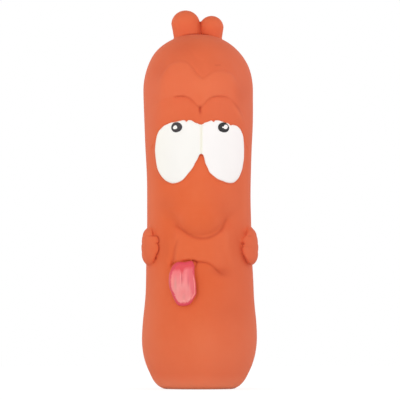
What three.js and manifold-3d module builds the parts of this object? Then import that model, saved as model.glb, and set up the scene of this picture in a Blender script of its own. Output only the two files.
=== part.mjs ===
// A squeaky latex dog toy: an upright sausage with a comic face, standing on its flat foot.
//
// Millimetres, +Z up, the face towards -Y. Left and right are as seen from the front. The origin is
// on the floor, under the middle of the toy's bounding box.
//
// The toy is one hollow latex casting, stuffed with polyester fibre. The eyes and the tongue are
// coats of coloured latex brushed onto it. A reed squeaker snaps into a thick-lipped hole in the
// foot: squeezing the toy drives air past the reed and out through the squeaker's sound holes.

import * as THREE from "three";
import { mergeVertices } from "three/addons/utils/BufferGeometryUtils.js";
import Module from "manifold-3d";

// Clearances
const seatGap = 0.3; // between pieces that touch on the real toy
const fibreGap = 0.5; // between the stuffing and what holds it
const overrun = 2; // how far a cutter passes the face that it cuts

// The casting's outline, a profile turned about the upright axis
const footRadius = 16.1;
const bellyRadius = 26.5;
const bellyHeight = 23.7;
const waistRadius = 23.9;
const waistHeight = 87.3;
const crownHeight = 163.5;
const headRadius = 25.3;
const headSetDown = 26.5; // the head's widest level below the crown
const headHeight = crownHeight - headSetDown;
const skinWall = 2.2;
const headLean = 0.7; // how far the crown leans to the left of the foot
const depthShare = 0.94; // the casting's depth as a share of its width

// Where the profile's four curves are steered, as shares of the stretch that each one spans
const footSteerShares = [0.42, 0.076, 1, 0.51];
const bellySteerShares = [0, 0.2, 1, 0.4];
const waistSteerShares = [0, 0.45, 1, 0.6];
const crownSteerShares = [0, 0.6, 0.4, 1];

// Lines that run across the face as seen from the front, from its left edge to its right one: how far
// out from the middle, in halves of the face's width, and how far up, in the line's own hang
const faceWidth = 52;
const faceSetDown = 3.5; // the top of the face below the crown
const faceTop = crownHeight - faceSetDown;
const chinSetDown = 123.5;
const chinLevel = crownHeight - chinSetDown;

// The line between the lips: a long arch on the left, and a droop on the right
const mouthSetDown = 104.2; // its highest place below the crown
const mouthLevel = crownHeight - mouthSetDown;
const mouthHang = 6.4;
const mouthLineShares = [
  [-1, -0.83],
  [-0.51, -0.58],
  [-0.48, -0.31],
  [-0.41, -0.09],
  [-0.28, -0.02],
  [-0.14, 0],
  [0.1, -0.09],
  [0.19, -0.27],
  [0.27, -0.64],
  [0.35, -0.95],
  [0.42, -1],
  [0.48, -0.89],
  [1, -0.52],
];

// The edge of the upper lids, under which the whites end
const lidEdgeSetDown = 39.7;
const lidEdgeLevel = crownHeight - lidEdgeSetDown;
const lidEdgeHang = 18.8;
const lidEdgeLineShares = [
  [-1, -0.95],
  [-0.85, -0.63],
  [-0.79, -0.45],
  [-0.71, -0.22],
  [-0.65, -0.14],
  [-0.52, -0.06],
  [-0.3, 0],
  [-0.17, -0.01],
  [-0.02, -0.08],
  [0.04, -0.08],
  [0.19, -0.01],
  [0.3, 0],
  [0.51, -0.09],
  [0.65, -0.14],
  [0.72, -0.22],
  [0.77, -0.39],
  [0.82, -0.63],
  [1, -1],
];

// The crease over the lids, which dips between them
const lidTopSetDown = 28.9;
const lidTopLevel = crownHeight - lidTopSetDown;
const lidTopHang = 26.6;
const lidTopLineShares = [
  [-1, -0.25],
  [-0.73, -0.09],
  [-0.54, -0.02],
  [-0.41, 0],
  [-0.27, -0.01],
  [-0.16, -0.06],
  [-0.07, -0.14],
  [0.01, -0.2],
  [0.1, -0.11],
  [0.18, -0.03],
  [0.32, 0],
  [0.48, -0.02],
  [0.62, -0.11],
  [0.75, -0.29],
  [0.83, -0.51],
  [1, -1],
];

// The upper edge of the brows, the left one higher
const browSetDown = 11.6;
const browLevel = crownHeight - browSetDown;
const browHang = 20.9;
const browLineShares = [
  [-1, -0.86],
  [-0.81, -0.59],
  [-0.69, -0.35],
  [-0.57, -0.13],
  [-0.39, 0],
  [-0.21, -0.08],
  [-0.08, -0.22],
  [0.02, -0.35],
  [0.09, -0.36],
  [0.19, -0.26],
  [0.33, -0.21],
  [0.5, -0.28],
  [0.65, -0.47],
  [0.81, -0.71],
  [1, -1],
];

// How the casting swells from one line to the next: how far up the stretch between them, and how much
// of the reach named below
const chinSwellShares = [[0, 0], [0.35, 0], [0.7, 0], [0.96, -0.3]];
const lipSwellShares = [[0.05, 0.8], [0.16, 1], [0.4, 1], [0.7, 0.6], [1, 0.1]];
const cheekSwellShares = [[0.3, 0], [0.6, 0], [0.9, 0]];
const eyeSwellShares = [[0.1, 0], [0.25, 0], [0.4, 0], [0.55, 0], [0.7, 0], [0.85, 0], [1, 0]];
const lidSwellShares = [[0.08, 0.95], [0.3, 1.1], [0.6, 1.1], [0.9, 0.95], [1, 0.7]];
const browSwellShares = [[0.07, 1], [0.3, 1], [0.55, 0.95], [0.8, 0.65], [1, 0.3]];
const foreheadSwellShares = [[0.15, 0], [0.3, 0], [0.45, 0], [0.62, 0], [0.8, 0], [1, 0]];
const lipReach = 1.2;
const lidReach = 2;
const browReach = 2.5;
const lipRise = 11.5; // from the mouth to the lip's soft upper edge
// Where across the face each swelling starts, is full, is still full and ends
const lipFadeShares = [-0.52, -0.42, 0.28, 0.56];
const lidFadeShares = [-0.86, -0.6, 0.6, 0.86];
const browFadeShares = [-0.94, -0.55, 0.55, 0.9];
const frownDepth = 0.9; // the dent between the lids
const frownWidth = 4;

// Eyes: two tall bulges that meet over the nose
const eyeSpan = 20.2; // width of one eye's white as seen from the front
const eyeRise = 28.9;
const eyeGap = 0.4; // between the two whites
const eyeSetDown = 54; // the eyes' middles below the crown
const eyeLevel = crownHeight - eyeSetDown;
const eyeReach = 1.5; // how proud of the casting each bulge stands
const eyeFlatness = 0.6; // 1 for a pointed bulge, less for a flatter one
const eyeFootSetDown = 18.5; // where the eyes' stretch starts, below their middles
const eyeFootLevel = eyeLevel - eyeFootSetDown;
// The edge of an eye's white, from the nose's bridge down, out and up to under the lid: how far out from
// the middle of the eye in halves of the span, and how far up in halves of the rise
const eyeOutlineShares = [
  [-1, 0.24],
  [-0.99, -0.08],
  [-0.9, -0.26],
  [-0.71, -0.49],
  [-0.48, -0.71],
  [-0.21, -0.92],
  [-0.01, -0.98],
  [0.22, -1],
  [0.44, -0.96],
  [0.61, -0.88],
  [0.76, -0.75],
  [0.88, -0.59],
  [0.97, -0.16],
  [1, 0.2],
  [0.97, 0.7],
  [0.5, 1.1],
  [-0.5, 1.1],
  [-0.99, 1],
  [-1, 0.6],
];

// Nose: a long drop that hangs from between the eyes
const noseSetDown = 93.7; // the nose's bottom below the crown
const noseBottom = crownHeight - noseSetDown;
const noseLength = 41;
const noseRadius = 12;
const bridgeRadius = 2.6;
const noseReach = 6.8;
const noseDepthShare = 0.8;
const noseTilt = 2.5; // degrees, its upper end back into the face

// Tongue, out of the mouth's left end
const tongueOffset = -8.3;
const tongueSetDown = 10.6; // the tongue's middle below the mouth
const tongueLevel = mouthLevel - tongueSetDown;
const tongueWidth = 12.3;
const tongueLength = 21.4;
const tongueReach = 1.6;
const tongueSquareness = 0.8;
// Its edge, down the left side and up the right: out from its middle, and up, in halves of its sizes
const tongueOutlineShares = [
  [-0.45, 0.97],
  [-0.75, 0.73],
  [-0.95, 0.43],
  [-0.99, 0.04],
  [-0.86, -0.34],
  [-0.6, -0.68],
  [-0.3, -0.94],
  [-0.02, -0.99],
  [0.32, -0.9],
  [0.68, -0.7],
  [0.95, -0.42],
  [1, -0.1],
  [0.9, 0.2],
  [0.9, 0.5],
  [0.95, 0.8],
  [0.8, 1],
  [0.2, 1],
];

// Hands: small fists with a raised thumb, held against the toy's sides
const handSpan = 54; // over both hands
const handLevel = 64.4;
const handThickness = 9.6;
const handDepth = 14;
const handRise = 15.8;
const handSetForward = 9.6;
const thumbThickness = 5.4;
const thumbRise = 7.2;
const thumbLift = 9.8; // the thumb's top above the palm's middle
const fingerSize = 5.4;
// Where the curled fingers stand, from the palm's middle: how far in, in halves of its thickness, and
// how far up, in halves of its rise
const fingerPlaceShares = [
  [0.45, 0.5],
  [0.36, -0.05],
  [0.1, -0.58],
];
const fingerForwardShare = 0.72; // how far forward, in halves of the palm's depth

// Tufts: the sausage skin's two tied ends, just behind the crown, leaning on each other
const tuftRadius = 6.5;
const tuftRise = 11.2; // the left tuft's top above the crown
const tuftTop = crownHeight + tuftRise;
const tuftNeckShare = 0.9;
const tuftLean = 0.9; // how far each neck stands inwards of its ball
const tuftSetBack = 5;
const tuftSpacing = 12.1;
const smallTuftShare = 0.82; // the right tuft beside the left one
const smallTuftDrop = 2.9;

// Coats of paint
const coatThickness = 0.3;
const pupilWidth = 5;
const pupilSpacing = 21.6;
const pupilRise = 11; // the pupils' middles above the eyes'
const pupilLevel = eyeLevel + pupilRise;
const glintWidth = 2.2;
const glintShift = 0.8; // outwards from the pupil's middle
const paleCoatShare = 0.66; // the pale middle of the tongue beside the whole of it

// Squeaker: a snap-in barrel that holds a reed between two half plugs
const grommetRadius = 8;
const lipThickness = 2.4; // latex gripped by the barrel's groove
const lipLand = 4.6; // width of the thickened ring around the hole
const flangeRadius = 10;
const flangeThickness = 1.2;
const flangeSink = 0.3; // how far the flange sits above the floor
const barbOverhang = 1.6;
const barbLength = 2.6;
const barrelLength = 15;
const boreRadius = 5.6;
const endWall = 1.4;
const soundHoleRadius = 0.8;
const soundHoleCircle = 2.9;
const soundHoleCount = 5;
const plenumHeight = 1.2;
const shoulderThickness = 0.9;
const channelWidth = 2.6;
const channelDepth = 2.8;
const channelWeb = 2;
const clampLength = 3.6;
const reedWidth = 4;
const reedThickness = 0.25;
const reedTipGap = 0.8; // from the reed's tip to the seat's upper end

// Mesh fineness
const bodySegments = 32;
const curveSteps = [7, 4, 5, 7];
const fineCurveSteps = [24, 24, 24, 24];
const columnCount = 44;
const columnCrowding = 0.5; // from 0, evenly spaced round the casting, to 1, crowded across the face
const frontAngle = 62; // degrees to each side of the front: as far as this the face is itself
const sideAngle = 100; // and here it has faded into the plain sausage
const lineSteps = 64;
const halvings = 20; // steps in which a row finds where it crosses a column
const lumpSegments = 16;
const lumpRings = 10;
const smallSegments = 10;
const smallRings = 6;
const tuftSegments = 18;
const barrelSegments = 32;
const weldTolerance = 1e-4;

// Lettered directions, and the finishes of the pieces
const leftSide = -1;
const rightSide = 1;
const latexOrange = finish(0xe67048, 0.62);
const fibreWhite = finish(0xf1eee6, 0.95);
const coatWhite = finish(0xfaf8f1, 0.45);
const coatBlack = finish(0x2c2829, 0.3);
const coatPink = finish(0xe0596a, 0.45);
const coatPalePink = finish(0xf2989a, 0.45);
const squeakerPlastic = finish(0xf4f3ee, 0.4);
const reedFilm = finish(0xdde6ea, 0.25);

const wasm = await Module();
wasm.setup();

function finish(color, roughness) {
  return new THREE.MeshStandardMaterial({ color, roughness, metalness: 0 });
}

// A closed geometry as a solid that can be joined and cut.
function solidOf(geometry) {
  const bare = geometry.index ? geometry.toNonIndexed() : geometry.clone();
  bare.deleteAttribute("normal");
  bare.deleteAttribute("uv");
  const merged = mergeVertices(bare, weldTolerance);
  return new wasm.Manifold(
    new wasm.Mesh({
      numProp: 3,
      vertProperties: merged.attributes.position.array,
      triVerts: new Uint32Array(merged.index.array),
    }),
  );
}

// A solid back as a geometry.
function geometryOf(solid) {
  const { numProp, vertProperties, triVerts } = solid.getMesh();
  const position = new THREE.InterleavedBuffer(vertProperties, numProp);
  const geometry = new THREE.BufferGeometry();
  geometry.setAttribute("position", new THREE.InterleavedBufferAttribute(position, 3, 0));
  geometry.setIndex(new THREE.BufferAttribute(triVerts, 1));
  const plain = geometry.toNonIndexed();
  plain.computeVertexNormals();
  return plain;
}

// A profile of [radius, height] points turned about the upright axis.
function turned(points, segments) {
  return new THREE.LatheGeometry(points, segments).rotateX(Math.PI / 2);
}

function join(solids) {
  return solids.reduce((all, next) => all.add(next));
}

// The casting's profile as four curves: foot to belly, belly to waist, waist to head, head to crown.
function profileCurves() {
  const stations = [
    [footRadius, 0],
    [bellyRadius, bellyHeight],
    [waistRadius, waistHeight],
    [headRadius, headHeight],
    [0, crownHeight],
  ];
  const steers = [footSteerShares, bellySteerShares, waistSteerShares, crownSteerShares];
  return steers.map(([r1, z1, r2, z2], i) => {
    const [[startR, startZ], [endR, endZ]] = [stations[i], stations[i + 1]];
    const between = (a, b) =>
      new THREE.Vector2(startR + a * (endR - startR), startZ + b * (endZ - startZ));
    return new THREE.CubicBezierCurve(between(0, 0), between(r1, z1), between(r2, z2), between(1, 1));
  });
}

function sampledProfile(steps) {
  const points = profileCurves().map((curve, i) => curve.getPoints(steps[i]).slice(i ? 1 : 0));
  return [new THREE.Vector2(0, 0), ...points.flat()];
}

const profilePoints = sampledProfile(curveSteps);
const finePoints = sampledProfile(fineCurveSteps);

// A profile moved outwards by a distance, along the mitre of the two stretches at each point.
function grownProfile(profile, grow) {
  const last = profile.length - 1;
  const facing = (a, b) => {
    const along = b.clone().sub(a).normalize();
    return new THREE.Vector2(along.y, -along.x);
  };
  return profile.map((point, i) => {
    const before = i > 0 ? facing(profile[i - 1], point) : new THREE.Vector2(0, -1);
    const after = i < last ? facing(point, profile[i + 1]) : new THREE.Vector2(0, 1);
    const mitre = before.clone().add(after).divideScalar(1 + before.dot(after));
    const moved = point.clone().addScaledVector(mitre, grow);
    return new THREE.Vector2(i === 0 || i === last ? 0 : moved.x, moved.y);
  });
}

function radiusAt(profile, height) {
  const rising = profile.slice(1);
  const i = rising.findIndex((point) => point.y >= height);
  if (i < 1) return i === 0 ? rising[0].x : 0;
  const [low, high] = [rising[i - 1], rising[i]];
  return THREE.MathUtils.mapLinear(height, low.y, high.y, low.x, high.x);
}

// The plain sausage, larger or smaller all round by a distance.
function bodyForm(grow) {
  return solidOf(turned(grownProfile(profilePoints, grow), bodySegments).scale(1, depthShare, 1));
}

// A place on the casting, by its angle to the right of the front.
function onCasting(radius, angle, height) {
  const out = -depthShare * radius * Math.cos(angle);
  return new THREE.Vector3(radius * Math.sin(angle), out, height);
}

// A line across the face: its height over x.
function faceLine(level, hang, shares) {
  const points = shares.map(
    ([out, up]) => new THREE.Vector2((out * faceWidth) / 2, level + up * hang),
  );
  const line = new THREE.SplineCurve(points).getPoints(lineSteps);
  return (x) => {
    const passed = line.slice(1, -1).filter((point) => point.x < x).length;
    const [start, end] = [line[passed], line[passed + 1]];
    return THREE.MathUtils.mapLinear(x, start.x, end.x, start.y, end.y);
  };
}

const mouthLine = faceLine(mouthLevel, mouthHang, mouthLineShares);
const lidEdgeLine = faceLine(lidEdgeLevel, lidEdgeHang, lidEdgeLineShares);
const lidTopLine = faceLine(lidTopLevel, lidTopHang, lidTopLineShares);
const browLine = faceLine(browLevel, browHang, browLineShares);

// 1 across the middle of a swelling, and falling to 0 at its ends.
function fading([start, full, stillFull, end]) {
  const { smoothstep } = THREE.MathUtils;
  return (x) => {
    const out = (2 * x) / faceWidth;
    return smoothstep(out, start, full) * (1 - smoothstep(out, stillFull, end));
  };
}

function eyeBulge(x, height) {
  const half = eyeSpan / 2;
  const out = (Math.abs(x) - half) / half;
  const up = (height - eyeLevel) / (eyeRise / 2);
  return eyeReach * Math.max(1 - out ** 2 - up ** 2, 0) ** eyeFlatness;
}

function frown(x) {
  return frownDepth * Math.max(1 - Math.abs((2 * x) / frownWidth), 0);
}

// The rows of the face from the chin to the forehead. Each has its height over x, and its reach, how
// proud of the plain sausage it stands there.
function faceRows() {
  const lipTop = () => mouthLevel + lipRise;
  const eyeFoot = () => eyeFootLevel;
  const lip = fading(lipFadeShares);
  const lid = fading(lidFadeShares);
  const brow = fading(browFadeShares);
  const stretches = [
    [() => chinLevel, mouthLine, chinSwellShares, (share, x) => share * lipReach * lip(x)],
    [mouthLine, lipTop, lipSwellShares, (share, x) => share * lipReach * lip(x)],
    [lipTop, eyeFoot, cheekSwellShares, () => 0],
    [eyeFoot, lidEdgeLine, eyeSwellShares, (share, x, height) => eyeBulge(x, height)],
    [lidEdgeLine, lidTopLine, lidSwellShares, (share, x) => share * (lidReach - frown(x)) * lid(x)],
    [lidTopLine, browLine, browSwellShares, (share, x) => share * browReach * brow(x)],
    [browLine, () => faceTop, foreheadSwellShares, () => 0],
  ];
  return stretches.flatMap(([low, high, swell, reach]) =>
    swell.map(([up, share]) => ({
      height: (x) => THREE.MathUtils.lerp(low(x), high(x), up),
      reach: (x, height) => reach(share, x, height),
    })),
  );
}

const columnAngles = Array.from({ length: columnCount }, (_, i) => {
  const turn = Math.PI * ((2 * i) / columnCount - 1);
  return turn - columnCrowding * Math.sin(turn);
});

// The casting's body with its face, larger or smaller all round by a distance: plain rings up to the
// chin, the face's rows, and plain rings over the crown.
function bodyWithFace(grow) {
  const plain = grownProfile(profilePoints, grow);
  const fine = grownProfile(finePoints, grow);
  const [bottom, top] = [plain[0], plain.at(-1)];
  const plainRings = plain
    .slice(1, -1)
    .map(({ x: radius, y: height }) => columnAngles.map((angle) => onCasting(radius, angle, height)));
  const { degToRad, lerp, smoothstep } = THREE.MathUtils;
  const faceRings = faceRows().map((row) => {
    const half = faceWidth / 2;
    const behind = (row.height(-half) + row.height(half)) / 2;
    return columnAngles.map((angle) => {
      const front = 1 - smoothstep(Math.abs(angle), degToRad(frontAngle), degToRad(sideAngle));
      const heightAt = (x) => lerp(behind, row.height(x), front);
      const across = Math.sin(angle);
      let [near, far] = [0, Math.sign(across) * half];
      for (let halving = 0; halving < halvings; halving++) {
        const x = (near + far) / 2;
        const inside = Math.abs(x) < radiusAt(finePoints, heightAt(x)) * Math.abs(across);
        [near, far] = inside ? [x, far] : [near, x];
      }
      const height = heightAt(near);
      return onCasting(radiusAt(fine, height) + front * row.reach(near, height), angle, height);
    });
  });
  const below = plainRings.filter((ring) => ring[0].z < chinLevel - seatGap);
  const above = plainRings.filter((ring) => ring[0].z > faceTop + seatGap);
  return lofted(bottom.y, [...below, ...faceRings, ...above], top.y);
}

// A closed form through rings of places, from a lowest place on the axis to a highest one.
function lofted(low, rings, high) {
  const places = [new THREE.Vector3(0, 0, low), ...rings.flat(), new THREE.Vector3(0, 0, high)];
  const wide = rings[0].length;
  const lastRing = 1 + (rings.length - 1) * wide;
  const faces = [];
  for (let i = 0; i < wide; i++) {
    const next = (i + 1) % wide;
    faces.push(0, 1 + next, 1 + i);
    for (let ring = 1; ring < lastRing; ring += wide) {
      const [a, b, c, d] = [ring + i, ring + next, ring + wide + next, ring + wide + i];
      faces.push(a, b, c, a, c, d);
    }
    faces.push(lastRing + i, lastRing + next, places.length - 1);
  }
  const geometry = new THREE.BufferGeometry().setFromPoints(places);
  geometry.setIndex(faces);
  return solidOf(geometry);
}

// A ball stretched to half sizes across, out and up. A squareness below 1 fills its corners.
function blob(halfSizes, segments, rings, squareness = 1) {
  const ball = new THREE.SphereGeometry(1, segments, rings).rotateX(Math.PI / 2);
  const { array } = ball.attributes.position;
  for (let i = 0; i < array.length; i++) {
    array[i] = Math.sign(array[i]) * Math.abs(array[i]) ** squareness;
  }
  return ball.scale(...halfSizes);
}

// The nose is a drop turned about an upright axis and flattened from front to back.
function noseForm(grow) {
  const ball = noseRadius + grow;
  const tip = bridgeRadius + grow;
  const ballHeight = noseBottom + noseRadius;
  const tipHeight = noseBottom + noseLength - bridgeRadius;
  const outline = new THREE.Path();
  outline.moveTo(0, ballHeight - ball);
  outline.absarc(0, ballHeight, ball, -Math.PI / 2, 0);
  outline.bezierCurveTo(
    ball, THREE.MathUtils.lerp(ballHeight, tipHeight, 1 / 3),
    tip, THREE.MathUtils.lerp(ballHeight, tipHeight, 2 / 3),
    tip, tipHeight,
  );
  outline.absarc(0, tipHeight, tip, 0, Math.PI / 2);
  const points = outline.getPoints(lumpRings / 2);
  const front = depthShare * radiusAt(profilePoints, ballHeight) + noseReach;
  return solidOf(
    turned(points, lumpSegments)
      .scale(1, noseDepthShare, 1)
      .translate(0, 0, -ballHeight)
      .rotateX(-THREE.MathUtils.degToRad(noseTilt))
      .translate(0, noseRadius * noseDepthShare - front, ballHeight),
  );
}

// The tongue is a blob laid round the casting, mostly sunk in it.
function tongueForm(grow) {
  const sunk = tongueReach;
  const halfSizes = [tongueWidth / 2 + grow, tongueReach + sunk + grow, tongueLength / 2 + grow];
  const geometry = blob(halfSizes, lumpSegments, lumpRings, tongueSquareness);
  const { position } = geometry.attributes;
  const middle = radiusAt(profilePoints, tongueLevel);
  for (let i = 0; i < position.count; i++) {
    const height = tongueLevel + position.getZ(i);
    const angle = Math.asin(tongueOffset / middle) + position.getX(i) / middle;
    const radius = radiusAt(finePoints, height) - sunk - position.getY(i);
    position.setXYZ(i, ...onCasting(radius, angle, height));
  }
  return solidOf(geometry);
}

// One fist: a palm against the toy's side, a thumb raised above it and a row of curled fingers at
// its front, towards the face.
function handForms(side, grow) {
  const palmX = (handSpan - handThickness) / 2;
  const ball = ([across, deep, up], x, y, z) => {
    const halfSizes = [across / 2 + grow, deep / 2 + grow, up / 2 + grow];
    return solidOf(blob(halfSizes, smallSegments, smallRings).translate(side * x, y, z));
  };
  const palm = ball([handThickness, handDepth, handRise], palmX, -handSetForward, handLevel);
  const thumb = ball(
    [thumbThickness, thumbThickness, thumbRise],
    palmX,
    -handSetForward,
    handLevel + thumbLift - thumbRise / 2,
  );
  const fingers = fingerPlaceShares.map(([inShare, upShare]) =>
    ball(
      [fingerSize, fingerSize, fingerSize],
      palmX - (inShare * handThickness) / 2,
      -handSetForward - (fingerForwardShare * handDepth) / 2,
      handLevel + (upShare * handRise) / 2,
    ),
  );
  return [palm, thumb, ...fingers];
}

// A tuft is a ball on a slightly narrower neck that stands in the crown.
function tuftForm(side, grow) {
  const small = side === rightSide;
  const radius = tuftRadius * (small ? smallTuftShare : 1);
  const level = tuftTop - radius - (small ? smallTuftDrop : 0);
  const ballX = (side * tuftSpacing) / 2;
  const neckX = ballX - side * tuftLean;
  const halfSizes = Array(3).fill(radius + grow);
  const ball = blob(halfSizes, tuftSegments, lumpRings).translate(ballX, tuftSetBack, level);
  const neckRadius = radius * tuftNeckShare + grow;
  const neck = disc(neckRadius, headHeight - grow, level, tuftSegments, neckX, tuftSetBack);
  return solidOf(ball).add(neck);
}

function castingForm(grow) {
  const sides = [leftSide, rightSide];
  return join([
    bodyWithFace(grow),
    noseForm(grow),
    tongueForm(grow),
    ...sides.flatMap((side) => handForms(side, grow)),
    ...sides.map((side) => tuftForm(side, grow)),
  ]);
}

// A piece of an upright round bar, from one height to another.
function disc(radius, low, high, segments = barrelSegments, x = 0, y = 0) {
  const profile = [
    [0, low],
    [radius, low],
    [radius, high],
    [0, high],
  ].map(([r, z]) => new THREE.Vector2(r, z));
  return solidOf(turned(profile, segments).translate(x, y, 0));
}

function block(width, depth, height, x, y, z) {
  return solidOf(new THREE.BoxGeometry(width, depth, height).translate(x, y, z));
}

// A prism that a shape drawn as seen from the front sweeps through the toy's front half.
function frontPrism(shape) {
  const depth = headRadius + bellyRadius;
  const swept = new THREE.ExtrudeGeometry(shape, {
    depth,
    bevelEnabled: false,
    curveSegments: lumpSegments,
  });
  return solidOf(swept.rotateX(Math.PI / 2));
}

function ovalShape(x, z, width, height) {
  return new THREE.Shape().absellipse(x, z, width / 2, height / 2, 0, 2 * Math.PI);
}

// Leans a geometry to the left, more and more towards the crown.
function leaned(geometry) {
  const { position } = geometry.attributes;
  for (let i = 0; i < position.count; i++) {
    const share = Math.max(position.getZ(i), 0) / crownHeight;
    position.setX(i, position.getX(i) - headLean * share ** 2);
  }
  return geometry;
}

// Heights of the squeaker's fit in the foot
const flangeTop = flangeSink + flangeThickness;
const lipLow = flangeTop + seatGap;
const lipHigh = lipLow + lipThickness;
const barbLow = lipHigh + seatGap;
const barrelTop = flangeSink + barrelLength;
const boreFloor = flangeSink + endWall;
const plugLow = boreFloor + plenumHeight;
const shoulderLow = barrelTop + seatGap;
const shoulderHigh = shoulderLow + shoulderThickness;
const plugRadius = boreRadius - seatGap;
const barrelRadius = grommetRadius - seatGap;
const barbRadius = grommetRadius + barbOverhang;

function latexSkin() {
  const hollow = bodyForm(-skinWall).add(noseForm(-skinWall));
  const lipRing = disc(grommetRadius + lipLand, 0, lipHigh);
  return castingForm(0)
    .subtract(hollow.subtract(lipRing))
    .subtract(disc(grommetRadius, -overrun, lipHigh + overrun))
    .subtract(disc(flangeRadius + seatGap, -overrun, lipLow));
}

function fibreFilling() {
  const pocket = Math.max(barbRadius, grommetRadius + lipLand) + fibreGap;
  return bodyForm(-skinWall - fibreGap).subtract(disc(pocket, 0, shoulderHigh + fibreGap));
}

// A closed shape through places as seen from the front, each out from a middle and up from it in halves
// of a width and a height.
function outlineShape(x, z, width, height, shares) {
  const places = shares.map(
    ([out, up]) => new THREE.Vector2(x + (out * width) / 2, z + (up * height) / 2),
  );
  return new THREE.Shape(new THREE.SplineCurve([...places, places[0]]).getPoints(2 * lumpSegments));
}

// The whole of the face below a line across it, less the gap that a coat keeps to what it stops at.
function belowLine(line) {
  const half = faceWidth / 2;
  const places = Array.from({ length: lineSteps + 1 }, (_, i) => {
    const x = THREE.MathUtils.lerp(-half, half, i / lineSteps);
    return new THREE.Vector2(x, line(x) - seatGap);
  });
  return new THREE.Shape([new THREE.Vector2(-half, 0), new THREE.Vector2(half, 0), ...places.reverse()]);
}

// A coat of paint on a form, as thick as one coat and lying on the given number of coats below it.
function coat(form, layer, shape) {
  const low = seatGap + layer * (coatThickness + seatGap);
  return form(low + coatThickness).subtract(form(low)).intersect(frontPrism(shape));
}

// A coat on an eye, which stops short of the lid and the nose.
function eyeCoat(layer, shape) {
  return coat(bodyWithFace, layer, shape)
    .intersect(frontPrism(belowLine(lidEdgeLine)))
    .subtract(noseForm(seatGap));
}

// The white of one eye, from the nose's bridge round to the side of the head.
function eyeWhiteShape(side) {
  const middle = (side * (eyeSpan + eyeGap)) / 2;
  return outlineShape(middle, eyeLevel, side * eyeSpan, eyeRise, eyeOutlineShares);
}

function eyeDotShape(side, x, width) {
  return ovalShape(side * x, pupilLevel, width, width);
}

// A coat on the tongue, which stops short of the lip.
function tongueCoat(layer, share) {
  const form = (grow) => bodyWithFace(grow).add(tongueForm(grow));
  const [width, length] = [tongueWidth * share, tongueLength * share];
  const shape = outlineShape(tongueOffset, tongueLevel, width, length, tongueOutlineShares);
  return coat(form, layer, shape).intersect(frontPrism(belowLine(mouthLine)));
}

function squeakerBarrel() {
  const profile = [
    [0, flangeSink],
    [flangeRadius, flangeSink],
    [flangeRadius, flangeTop],
    [barrelRadius, flangeTop],
    [barrelRadius, barbLow],
    [barbRadius, barbLow],
    [barrelRadius, barbLow + barbLength],
    [barrelRadius, barrelTop],
    [boreRadius, barrelTop],
    [boreRadius, boreFloor],
    [0, boreFloor],
  ].map(([r, z]) => new THREE.Vector2(r, z));
  const barrel = solidOf(turned(profile, barrelSegments));
  const holes = Array.from({ length: soundHoleCount }, (_, i) => {
    const angle = (2 * Math.PI * i) / soundHoleCount;
    const x = soundHoleCircle * Math.sin(angle);
    const y = soundHoleCircle * Math.cos(angle);
    return disc(soundHoleRadius, -overrun, boreFloor + overrun, smallSegments, x, y);
  });
  return barrel.subtract(join(holes));
}

// Half of a round plug, behind (1) or before (-1) the plane of the reed.
function halfPlug(side, radius, face, low, high) {
  const depth = radius + overrun;
  const y = side * (face + depth / 2);
  const keep = block(2 * depth, depth, high - low + overrun, 0, y, (low + high) / 2);
  return disc(radius, low, high).intersect(keep);
}

// The rear half plug: its channel leads the air from under the reed down to the sound holes.
function reedSeat() {
  const plug = halfPlug(1, plugRadius, 0, plugLow, shoulderHigh);
  const shoulder = halfPlug(1, barrelRadius, 0, shoulderLow, shoulderHigh);
  const channelHigh = barrelTop - channelWeb;
  const channel = block(
    channelWidth,
    2 * channelDepth,
    channelHigh - plugLow + overrun,
    0,
    0,
    (channelHigh + plugLow - overrun) / 2,
  );
  return plug.add(shoulder).subtract(channel);
}

// The front half plug: a short wedge that holds the reed's root in a shallow pocket.
function reedClamp() {
  const pocketDepth = reedThickness + seatGap;
  const plug = halfPlug(-1, plugRadius, seatGap, plugLow, plugLow + clampLength);
  const pocket = block(
    reedWidth + 2 * seatGap,
    2 * pocketDepth,
    clampLength + 2 * overrun,
    0,
    -seatGap,
    plugLow + clampLength / 2,
  );
  return plug.subtract(pocket);
}

function reed() {
  const low = plugLow;
  const high = barrelTop - reedTipGap;
  const half = reedWidth / 2;
  const outline = new THREE.Shape();
  outline.moveTo(-half, low);
  outline.lineTo(half, low);
  outline.lineTo(half, high - half);
  outline.absarc(0, high - half, half, 0, Math.PI);
  outline.closePath();
  const strip = new THREE.ExtrudeGeometry(outline, {
    depth: reedThickness,
    bevelEnabled: false,
    curveSegments: smallSegments,
  });
  return strip.rotateX(Math.PI / 2).translate(0, -seatGap, 0);
}

function named(name, geometry, material) {
  const mesh = new THREE.Mesh(geometry, material);
  mesh.name = name;
  return mesh;
}

const casting = new THREE.Group();
casting.add(named("latex_skin", leaned(geometryOf(latexSkin())), latexOrange));
casting.add(named("fibre_filling", leaned(geometryOf(fibreFilling())), fibreWhite));
for (const [word, side] of [["left", leftSide], ["right", rightSide]]) {
  const pupilX = pupilSpacing / 2;
  const white = eyeCoat(0, eyeWhiteShape(side));
  const pupil = eyeCoat(1, eyeDotShape(side, pupilX, pupilWidth));
  const glint = eyeCoat(2, eyeDotShape(side, pupilX + glintShift, glintWidth));
  casting.add(named(`eye_white_${word}`, leaned(geometryOf(white)), coatWhite));
  casting.add(named(`pupil_${word}`, leaned(geometryOf(pupil)), coatBlack));
  casting.add(named(`glint_${word}`, leaned(geometryOf(glint)), coatWhite));
}
casting.add(named("tongue_coat", leaned(geometryOf(tongueCoat(0, 1))), coatPink));
casting.add(named("tongue_pale_coat", leaned(geometryOf(tongueCoat(1, paleCoatShare))), coatPalePink));

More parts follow.
